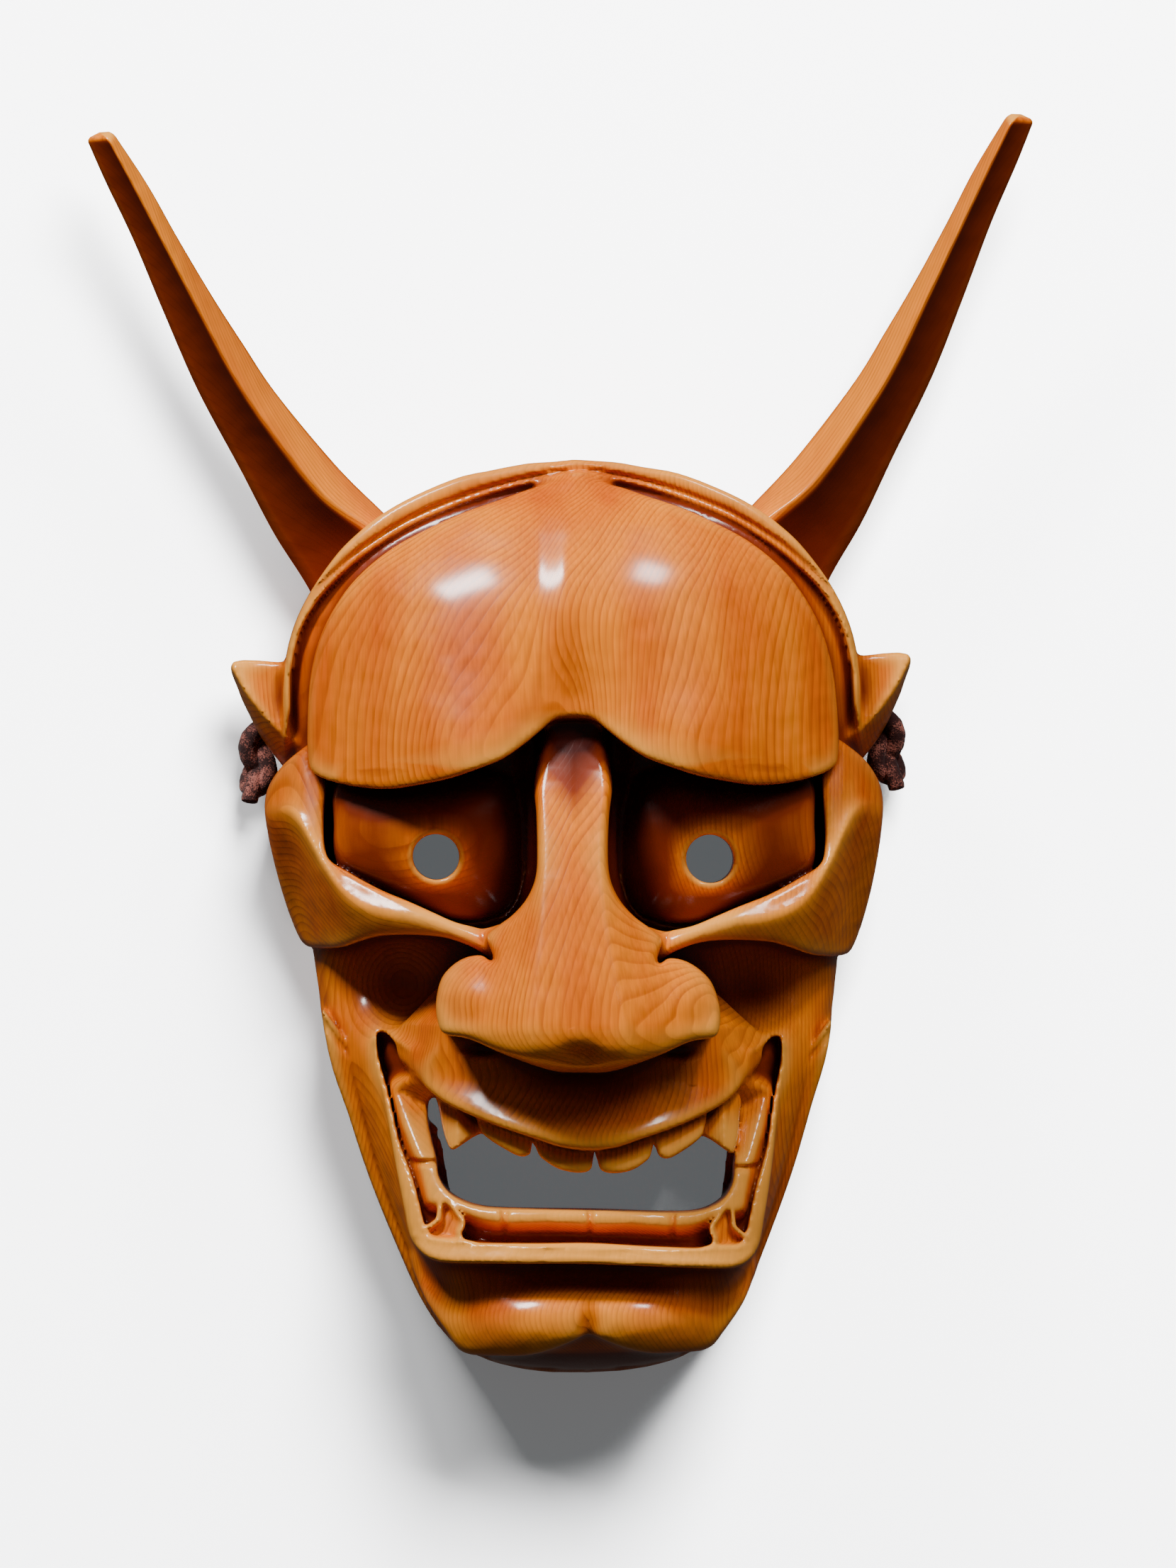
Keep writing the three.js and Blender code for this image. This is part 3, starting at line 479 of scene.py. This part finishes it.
# The hollow behind follows the face: higher behind the eyes and the nose, lower under the cheeks.
hollow_middle = curve((66, 14), (55, 34), (40, 47), (20, 54), (4, 50), (-10, 43), (-30, 41), (-50, 41),
                      (-70, 42), (-90, 46), (-110, 52), (-130, 56), (-145, 50), (-158, 20))(y)
hollow_share = np.clip(a / np.maximum(head_half(y) - SIDE_WALL + 1, 1), 0, 1)
hollow_top = (hollow_middle * (1 - hollow_share**5)
              + 8 * swell(a - 36, y + 27, 12, 10) + 16 * swell(a, y + 62, 13, 20)
              - 5 * swell(a - 47, y + 67, 10, 12))


def plate(top, outline_distance, edge, lean=0.0):
    """A plate's field, less than 0 in the wood: the fillet of height over the top with distance past
    the outline, which moves in by lean for each millimetre below the top, down to the undercut's end."""
    steep = np.sqrt(1 + sum(g**2 for g in np.gradient(top, GRAIN)))
    over = ((zs[None, None, :] - top[..., None]) / steep[..., None]).astype(np.float32)
    undercut = lean * np.clip(top[..., None] - zs, 0, UNDERCUT_DEPTH)
    return meet(over, (outline_distance[..., None] + undercut).astype(np.float32), edge)


def flat(distance):
    """A field in the plane of the face, the same at every height."""
    return np.broadcast_to(distance[..., None].astype(np.float32), distance.shape + zs.shape)


def groove(distance, width, depth):
    """A round-bottomed groove along a line: its depth at a distance from the line."""
    return depth * np.clip(1 - (distance / width) ** 2, 0, 1)


# The body, the chin and the lips, with the mouth cut deep inside them.
wood = plate(body_top, d_head, 6)
wood = join(wood, plate(chin_top, past(CHIN, x, y), 1.8), 2)
d_mouth = past(MOUTH, x, y)
d_lip = past(LIP_INSIDE, x, y)
wood = join(wood, plate(lip_top, d_mouth, 1.8), 1)
wood = meet(wood, -meet(flat(d_lip), lip_top[..., None] - LIP_DEEP - zs, 1.0), 0.9)

# The lower teeth: one row with a gap in the middle of the front, one on each side of it, and one half
# way up each side. The lower fangs stand at its corners, and the mouth's hole is cut inside the row.
d_row = past(LOWER_TEETH, x, y)
front_gaps = np.minimum(np.abs(a - FRONT_GAP_X), a)
gaps = np.where(y < ROW_CORNER_Y, front_gaps, np.abs(y - SIDE_GAP_Y))
row_top = (lip_top - 2.2 - np.maximum(-d_row - 1.2, 0) * (0.15 + 0.75 * rise(-112, -107, y))
           - groove(gaps, TOOTH_GAP, 2.0))
wood = join(wood, meet(plate(row_top, d_row, 0.8, -0.42), flat(d_lip + 0.8), 1), 0.6)
d_fang = past(LOWER_FANG, x, y)
lower_fang = lip_top + 0.6 - 0.25 * (y + 130) - 3.5 * rise(-0.8, -2.0, d_fang)
wood = join(wood, plate(lower_fang, d_fang, 0.8), 0.5)
wood = meet(wood, -flat(past(MOUTH_HOLE, x, y)), 1.2)

# The hair band with a strip along its inner edge, the eyeballs, and the upper lip, nose and cheekbones.
d_band = past(BAND_INSIDE, x, y)
band = plate(band_top - groove(d_band - BAND_STRIP, STRIP_GROOVE, 1.3), d_head, 2.5)
wood = join(wood, meet(band, -flat(d_band), 1.5), 0.8)
wood = join(wood, plate(eyeball_top, past(EYEBALL, a, y, False), 3), 1)
d_muzzle = past(MUZZLE, x, y)
wood = join(wood, meet(plate(muzzle_top, d_muzzle, 2.4), 50 - zs, 2), 4)
beside_bridge = (rise(-52, -44, y) * rise(-4, -12, y))[..., None]
wood = join(wood, plate(nose_top, past(NOSE, x, y), 3, 0.12), 1.2 + 5 * beside_bridge)
wood = join(wood, meet(plate(cheekbone_top, past(CHEEKBONE, a, y, False), 2.0, 0.1),
                       np.maximum(UNDER_EAR, 2 * (a - 69))[..., None] - zs, 3),
            1.2 + 8 * swell(a - 18, y + 48.5, 6, 4)[..., None])

# The brow over the eyes, the ears, the upper fangs and teeth, and the nostrils and pupils.
d_brow = past(FOREHEAD, x, y)
wood = join(wood, plate(forehead_top, d_brow, 2.0, 0.15), 0.8 + 8 * swell(a, 0, 9, 1)[..., None])
wood = join(wood, meet(plate(ear_top, past(EAR, a, y, False), 2), UNDER_EAR - zs, 2), 1.5)
wood = join(wood, meet(plate(fang_top, past(UPPER_FANG, bite, y, False), 0.8), 58 - zs, 1), 0.6)
for outline in (INNER_TOOTH, OUTER_TOOTH):
    wood = join(wood, meet(plate(tooth_top, past(outline, bite, y, False), 1.4), 62 - zs, 1), 0.4)
nostril = np.sqrt(((a - 28) / 8.5)[..., None] ** 2 + ((y + 80) / 3.2)[..., None] ** 2
                  + ((zs - 80) / 9) ** 2)
wood = meet(wood, (3.2 * (1 - nostril)).astype(np.float32), 1.0)
d_pupil = np.hypot(a - PUPIL_X, y - PUPIL_Y) - PUPIL_RADIUS
wood = meet(wood, -flat(d_pupil), 1.2)


def crowding(field, reach):
    """The share of wood in a box of the given reach round each point of the grid, worked out from
    running sums along the three axes."""
    total = (field < 0).astype(np.float32)
    cells = int(round(reach / GRAIN))
    for axis in range(3):
        edge = [(0, 0)] * 3
        edge[axis] = (cells + 1, cells)
        sums = np.cumsum(np.pad(total, edge, mode="edge"), axis=axis, dtype=np.float32)
        size = total.shape[axis]
        far = np.take(sums, np.arange(2 * cells + 1, 2 * cells + 1 + size), axis=axis)
        total = (far - np.take(sums, np.arange(size), axis=axis)) / (2 * cells + 1)
    return total


# How crowded each place is by other wood, near to and further off: the material darkens crowded places with
# stain and painted shade. Painted shade is added on the eyeballs under the brow, on the root of the nose
# under the brow and on the chin's underside, a painted highlight on the rims of the pupils, and the lips
# round the mouth are made paler.
crowded = 0.45 * crowding(wood, NEAR_REACH) + 0.55 * crowding(wood, FAR_REACH)
# Painted shade on the eyeballs, which lie deep under the brow, darkest at their inner side.
painted_eye_shade = rise(1, -1, past(EYEBALL, a, y, False)) * (0.145 + 0.12 * swell(a - 13, y + 36, 12, 18))
# Painted shade on the root of the nose under the brow.
painted_root_shade = 0.27 * rise(0, 2, d_brow) * rise(-30, 0, y) * rise(20, 10, y) * swell(a, 0, 26, 1)
# The lips round the mouth are made paler.
paler_mouth = 0.07 * rise(1, -1, d_mouth) * rise(-92, -100, y) * rise(0, 2, d_muzzle)
# Painted highlight on the rounded rim of each pupil.
painted_pupil_highlight = 0.25 * swell(d_pupil - 0.4, 0, 0.9, 1)
# Painted shade on the underside of the chin.
painted_chin_shade = 0.20 * rise(-157.5, -160, y)[..., None] * rise(20, 64, zs)
crowded += (painted_eye_shade + painted_root_shade - paler_mouth - painted_pupil_highlight)[..., None] + painted_chin_shade

# The hollow behind, the cord's two holes and the flat back rim.
wood = meet(wood, -plate(hollow_top, d_head + SIDE_WALL, 8), 1.5)
wood = meet(wood, (CORD_HOLE - np.hypot(grid_y[..., None] - CORD_Y, zs - CORD_Z)).astype(np.float32), 0.8)
wood = meet(wood, -zs, 1.5)


def skin(field, low, step):
    """The surface where a field on a grid is 0. Each cell that it crosses gets one corner, at the
    middle of the points where the cell's edges are crossed, and each crossed edge joins its four."""
    solid = field < 0
    offsets = [(i, j, k) for i in (0, 1) for j in (0, 1) for k in (0, 1)]
    cut = tuple(n - 1 for n in field.shape)
    window = {o: tuple(slice(o[i], o[i] + cut[i]) for i in range(3)) for o in offsets}
    count = sum(solid[window[o]].astype(np.uint8) for o in offsets)
    crossed = (count > 0) & (count < 8)
    cells = np.argwhere(crossed)
    number = np.full(cut, -1, np.int32)
    number[crossed] = np.arange(len(cells), dtype=np.int32)
    value = {o: field[window[o]][crossed] for o in offsets}
    total = np.zeros((len(cells), 3))
    points = np.zeros(len(cells))
    faces = []
    for axis in range(3):
        ahead = np.eye(3, dtype=int)[axis]
        for o in offsets:
            if o[axis]:
                continue
            v0, v1 = value[o], value[tuple(np.array(o) + ahead)]
            hit = (v0 < 0) != (v1 < 0)
            t = np.where(hit, v0 / np.where(hit, v0 - v1, 1), 0)
            total += hit[:, None] * (np.array(o) + t[:, None] * ahead)
            points += hit
        u, v = (axis + 1) % 3, (axis + 2) % 3
        inner = [slice(1, -1)] * 3
        inner[axis] = slice(0, -1)
        beyond = list(inner)
        beyond[axis] = slice(1, None)
        here, there = solid[tuple(inner)], solid[tuple(beyond)]
        edge = np.argwhere(here != there)
        leaves = here[tuple(edge.T)]
        edge[:, u] += 1
        edge[:, v] += 1
        back_u, back_v = np.eye(3, dtype=int)[u], np.eye(3, dtype=int)[v]
        quad = np.stack([number[tuple((edge - s * back_u - t * back_v).T)]
                         for s, t in ((1, 1), (0, 1), (0, 0), (1, 0))], -1)
        faces.append(np.where(leaves[:, None], quad, quad[:, ::-1]))
    corners = (cells + total / points[:, None]) * step + low
    return corners, np.vstack(faces)


def read_grid(values, places, low, step):
    """The values of a grid at places between its points, in proportion along each axis."""
    at = (places - low) / step
    cell = np.clip(np.floor(at).astype(int), 0, np.array(values.shape) - 2)
    part = np.clip(at - cell, 0, 1)
    total = 0
    for i, j, k in ((i, j, k) for i in (0, 1) for j in (0, 1) for k in (0, 1)):
        weight = np.prod(np.where((i, j, k), part, 1 - part), axis=1)
        total = total + weight * values[cell[:, 0] + i, cell[:, 1] + j, cell[:, 2] + k]
    return total


def thinned(piece, triangles):
    """Merges small faces, first where the surface is flattest, until so many triangles are left."""
    sides = np.empty(len(piece.data.polygons), np.int32)
    piece.data.polygons.foreach_get("loop_total", sides)
    thinner = piece.modifiers.new("thinner", "DECIMATE")
    thinner.ratio = min(triangles / (sides - 2).sum(), 1)
    bpy.context.view_layer.update()
    seen = piece.evaluated_get(bpy.context.evaluated_depsgraph_get())
    piece.data = bpy.data.meshes.new_from_object(seen)
    piece.modifiers.clear()
    return piece


OPEN_GROUND = 0.5
RECESS_SPAN = 0.32


def note_stain_and_painted_light(piece, values, low, step):
    """Keeps on each corner how deep it lies between other wood: 0 on open ground, where half of what is round
    it is wood, up to 1 in a recess and down to -1 on an edge. The recesses are darkened by stain and painted
    shade, and the edges are made pale by wear and painted highlight."""
    places = np.empty(3 * len(piece.data.vertices), np.float32)
    piece.data.vertices.foreach_get("co", places)
    places = places.reshape(-1, 3) / MM - (0, FACE_SHIFT, 0)
    depth = np.clip((read_grid(values, places, low, step) - OPEN_GROUND) / RECESS_SPAN, -1, 1)
    stain_wear_and_painted_light = piece.data.attributes.new("stain_wear_and_painted_light", "FLOAT", "POINT")
    stain_wear_and_painted_light.data.foreach_set("value", depth.astype(np.float32))


RING_WIDTH = 0.95
RING_BEND = 0.009
WOOD_LIGHT = (0.90, 0.225, 0.002)
WOOD_RED = (0.66, 0.110, 0.001)
WOOD_RING = (0.34, 0.046, 0.001)
# Stain and painted shade in the recesses, painted shade in the deepest ones, and edges made pale by wear and
# painted highlight.
WOOD_STAIN_AND_SHADE = (0.25, 0.028, 0.002)
WOOD_DEEP_SHADE = (0.045, 0.0045, 0.0025)
WOOD_EDGE_WEAR_AND_HIGHLIGHT = (0.95, 0.42, 0.06)


def wood_material(name, pith, lean, ring_width, turn=0.0):
    """Varnished wood. Its growth rings are cylinders round a pith line: distance from that line, bent by slow
    noise, over the ring width. Phase p of each ring is dark by p^2.6 (1 - p^14), more in some years than in
    others. Long fine fibres and broad amber clouds cross the rings. Recesses are darkened by stain and by
    painted shade, and edges are made pale by wear and by painted highlight."""
    made, shader, put = nodes_for(name)

    def sums(kind, *values):
        """The result of one sum over values or other nodes' outputs."""
        return put("ShaderNodeMath", dict(enumerate(values)), operation=kind).outputs[0]

    def mixed(amount, first, second, **settings):
        """The first colour with the second laid over it by the amount."""
        return put("ShaderNodeMix", {0: amount, 6: first, 7: second}, data_type="RGBA",
                   **settings).outputs[2]

    # Growth rings.
    place = put("ShaderNodeTexCoord", {}).outputs["Object"]
    turned = put("ShaderNodeMapping", {"Vector": place, "Rotation": (lean[0], lean[1], turn)}).outputs[0]
    long_way = put("ShaderNodeMapping", {"Vector": turned, "Scale": (1.0, 0.22, 1.0)}).outputs[0]
    slow = put("ShaderNodeTexNoise", {"Vector": long_way, "Scale": 22.0, "Detail": 2.0, "Roughness": 0.45})
    across = put("ShaderNodeMapping", {"Vector": turned, "Location": (-pith[0], 0.0, -pith[1]),
                                       "Scale": (1.0, 0.0, 1.0)}).outputs[0]
    radius = put("ShaderNodeVectorMath", {0: across}, operation="LENGTH").outputs["Value"]
    bent = sums("ADD", radius, sums("MULTIPLY", slow.outputs["Fac"], RING_BEND))
    rings = sums("DIVIDE", bent, ring_width * MM)
    phase = sums("FRACT", rings)
    late = sums("POWER", phase, 2.6)
    back = sums("SUBTRACT", 1.0, sums("POWER", phase, 14.0))
    line = sums("MULTIPLY", late, back)
    year = put("ShaderNodeTexNoise", {"W": sums("FLOOR", rings), "Scale": 1.7, "Detail": 1.0},
               noise_dimensions="1D").outputs["Fac"]
    dark = sums("MULTIPLY", line, sums("MULTIPLY_ADD", year, 1.5, 0.25))

    # Fibres and clouds.
    fine_way = put("ShaderNodeMapping", {"Vector": turned, "Scale": (1.0, 0.03, 1.0)}).outputs[0]
    fibre = put("ShaderNodeTexNoise", {"Vector": fine_way, "Scale": 1500.0, "Detail": 3.0}).outputs["Fac"]
    cloud = put("ShaderNodeTexNoise", {"Vector": long_way, "Scale": 55.0, "Detail": 3.0}).outputs["Fac"]
    blush = put("ShaderNodeMapRange", {"Value": cloud, "From Min": 0.38, "From Max": 0.66}).outputs[0]

    # Colour: sound wood, its rings and fibres, stain and painted shade in the recesses, and edges made pale
    # by wear and painted highlight.
    ground = mixed(blush, (*WOOD_LIGHT, 1), (*WOOD_RED, 1))
    ringed = mixed(sums("MULTIPLY", dark, 0.7), ground, (*WOOD_RING, 1))
    streak = put("ShaderNodeMapRange", {"Value": fibre, "From Min": 0.3, "From Max": 0.7,
                                        "To Min": 0.86, "To Max": 1.08}).outputs[0]
    grey = put("ShaderNodeCombineColor", {0: streak, 1: streak, 2: streak}).outputs[0]
    streaked = mixed(1.0, ringed, grey, blend_type="MULTIPLY")
    stain_wear_and_painted_light = put("ShaderNodeAttribute", {}, attribute_name="stain_wear_and_painted_light").outputs["Fac"]
    # Stain and painted shade darken the recesses.
    inside = put("ShaderNodeMapRange", {"Value": stain_wear_and_painted_light, "From Min": 0.03, "From Max": 0.36}).outputs[0]
    stained_and_shaded = mixed(inside, streaked, (*WOOD_STAIN_AND_SHADE, 1))
    # Painted shade, nearly black, in the deepest recesses.
    further = put("ShaderNodeMapRange", {"Value": stain_wear_and_painted_light, "From Min": 0.30, "From Max": 0.80}).outputs[0]
    deep = mixed(further, stained_and_shaded, (*WOOD_DEEP_SHADE, 1))
    # Edges are made pale, partly by wear and partly as painted highlight.
    outside = put("ShaderNodeMapRange", {"Value": sums("MULTIPLY", stain_wear_and_painted_light, -1.0), "From Min": 0.18,
                                         "From Max": 0.75, "To Max": 0.75}).outputs[0]
    worn = mixed(outside, deep, (*WOOD_EDGE_WEAR_AND_HIGHLIGHT, 1))

    # Relief of the knife, the fibres and the rings, and the gloss of the varnish.
    facet = put("ShaderNodeTexNoise", {"Vector": place, "Scale": 120.0, "Detail": 1.0}).outputs["Fac"]
    relief = sums("ADD", sums("MULTIPLY", facet, 2.4), sums("ADD", sums("MULTIPLY", fibre, 0.10),
                                                           sums("MULTIPLY", dark, -0.12)))
    bump = put("ShaderNodeBump", {"Height": relief, "Strength": 0.35, "Distance": 0.0006}).outputs[0]
    gloss = put("ShaderNodeMapRange", {"Value": fibre, "To Min": 0.30, "To Max": 0.48}).outputs[0]
    made.node_tree.links.new(worn, shader.inputs["Base Color"])
    made.node_tree.links.new(gloss, shader.inputs["Roughness"])
    made.node_tree.links.new(bump, shader.inputs["Normal"])
    shader.inputs["IOR"].default_value = 1.5
    shader.inputs["Specular IOR Level"].default_value = 0.1
    shader.inputs["Coat Weight"].default_value = 0.55
    shader.inputs["Coat Roughness"].default_value = 0.16
    return made


low = np.array([xs[0], ys[0], zs[0]])
mask = thinned(mesh_object("mask_carved", *skin(wood, low, GRAIN)), MASK_TRIANGLES)
# The mask's corners keep the stain, painted shade and painted highlight that the wood's colour reads.
note_stain_and_painted_light(mask, crowded, low, GRAIN)
mask.data.materials.clear()
mask.data.materials.append(wood_material("mask_wood", (-0.034, 0.012), (0.20, 0.05), RING_WIDTH))
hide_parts("mask")
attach(mask, "root")

# Horns: each a separate piece of the same wood, fixed behind the hair band. The knife leaves two faces
# that meet at an arris: a broad one that looks in and up, and a hollowed one that looks out.
HORN_OUTER = [(60, 24), (68, 41), (77, 56), (85.5, 73), (96, 93.5), (104.5, 114), (112, 133),
              (119, 148.5), (124, 160.5)]
HORN_ARRIS = [(46, 51.5), (52, 56.7), (64.2, 66), (78.2, 84.4), (86.4, 97.4), (94, 112.4), (102.8, 130),
              (110.6, 145.6), (118.2, 160.4)]
HORN_INNER = [(42, 54), (48, 60.6), (60, 73), (75.3, 92.1), (84, 105.6), (92, 118.6),
              (100.5, 133.6), (108, 147.5), (117.5, 162.5)]
TIP_ROUND = 0.16
BACK_RAILS = (0.72, 0.25)
SIDE_BULGES = (-0.16, 0.05, 0.06, 0.05, 0.06)


def horn(name, sign, slices=150, side_steps=9):
    """A horn: a five-cornered section with rails for its outer edge, arris and inner edge and two
    rails behind, swept from foot to tip. Between its corners each side bulges out from the middle by
    4 s (1 - s) of its share, and the hollowed side bulges in."""
    last = len(HORN_OUTER) - 1
    t = np.linspace(0, last, slices)
    outer, arris, inner = (np.stack([curve(*enumerate(p[k] for p in rail))(t) for k in (0, 1)], -1)
                           for rail in (HORN_OUTER, HORN_ARRIS, HORN_INNER))
    level = curve((0, 23), (3, 26), (last, 36))(t)[:, None]
    thick = curve((0, 13), (2, 11.5), (5, 7.5), (last, 3.2))(t)[:, None]
    back = [outer + across * (inner - outer) for across in BACK_RAILS]
    rails = [np.hstack([outer, level]), np.hstack([arris, level + thick]), np.hstack([inner, level]),
             np.hstack([back[0], level - 0.75 * thick]), np.hstack([back[1], level - 0.8 * thick])]
    centre = sum(rails) / len(rails)
    s = (np.arange(side_steps) / side_steps)[None, :, None]
    rows = []
    for start, end, bulge in zip(rails, rails[1:] + rails[:1], SIDE_BULGES):
        straight = start[:, None] * (1 - s) + end[:, None] * s
        out = straight - centre[:, None]
        rows.append(straight + bulge * 4 * s * (1 - s) * out)
    ring = np.concatenate(rows, axis=1)
    near_tip = np.clip((t - last) / TIP_ROUND + 1, 0, 1)
    ring = centre[:, None] + (ring - centre[:, None]) * np.sqrt(1 - near_tip**2)[:, None, None]
    ring[..., 0] *= sign
    faces = grid_faces(slices, ring.shape[1])
    made = mesh_object(name, ring.reshape(-1, 3), faces if sign > 0 else faces[:, ::-1])
    # The hollowed side that looks out is darkened as painted shade, most at the arris. The broad side that
    # looks in and up is lightened as painted light, and the tip is made paler.
    side = np.arange(ring.shape[1]) / side_steps
    horn_light_and_shade = np.select([side < 1, side < 2], [0.30 + 0.36 * side, -0.30], 0)[None, :] - 0.9 * near_tip[:, None]
    stain_wear_and_painted_light = made.data.attributes.new("stain_wear_and_painted_light", "FLOAT", "POINT")
    stain_wear_and_painted_light.data.foreach_set("value", horn_light_and_shade.astype(np.float32).ravel())
    return merged(made)


for sign, side_name in ((-1, "left"), (1, "right")):
    made = horn("horn_carved_" + side_name, sign)
    made.data.materials.append(wood_material("horn_wood_" + side_name, (0.03 * sign, -0.02), (0.1, 0.1),
                                             RING_WIDTH, turn=math.radians(27 * sign)))
    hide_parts("horn_" + side_name)
    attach(made, "root")

# Stage: a plain pale floor and soft studio lights from beyond the top of the mask. One lamp is for the
# floor alone, and the floor neither lights the mask nor shows in its varnish. The widest lamp softens
# the shadows and leaves no highlight of its own.
FLOOR_SIZE = 6.0
LIT_POINT = (0, 0, 0.05)
bpy.ops.mesh.primitive_plane_add(size=FLOOR_SIZE)
floor = bpy.context.object
floor.name = "floor"
floor.visible_glossy = False
floor.visible_diffuse = False
paper, shader = nodes_for("floor_paper")[:2]
shader.inputs["Base Color"].default_value = (0.86, 0.86, 0.87, 1)
shader.inputs["Roughness"].default_value = 0.9
shader.inputs["Emission Color"].default_value = (0.86, 0.95, 1, 1)
shader.inputs["Emission Strength"].default_value = 0.12
floor.data.materials.append(paper)


def softbox(name, place, width, height, power):
    """A soft rectangular light that looks at the mask."""
    light = bpy.data.lights.new(name, "AREA")
    light.shape = "RECTANGLE"
    light.size, light.size_y = width, height
    light.energy = power
    lamp = bpy.data.objects.new(name, light)
    lamp.location = place
    lamp.rotation_euler = (Vector(LIT_POINT) - Vector(place)).to_track_quat("-Z", "Y").to_euler()
    bpy.context.collection.objects.link(lamp)
    return lamp


softbox("left_light", (-0.85, 1.70, 0.95), 0.60, 0.28, 60)
softbox("right_light", (0.75, 1.75, 0.95), 0.30, 0.25, 17)
softbox("over_light", (0.9, 1.5, 1.3), 1.2, 0.8, 23).visible_glossy = False
floor_lamp = softbox("floor_light", (0.55, 1.35, 2.2), 1.0, 1.0, 560)
lit_alone = bpy.data.collections.new("lit_alone")
lit_alone.objects.link(floor)
floor_lamp.light_linking.receiver_collection = lit_alone

surround = bpy.data.worlds.new("surround")
surround.use_nodes = True
surround.node_tree.nodes["Background"].inputs["Color"].default_value = (1.0, 0.95, 0.9, 1)
surround.node_tree.nodes["Background"].inputs["Strength"].default_value = 0.06
bpy.context.scene.world = surround
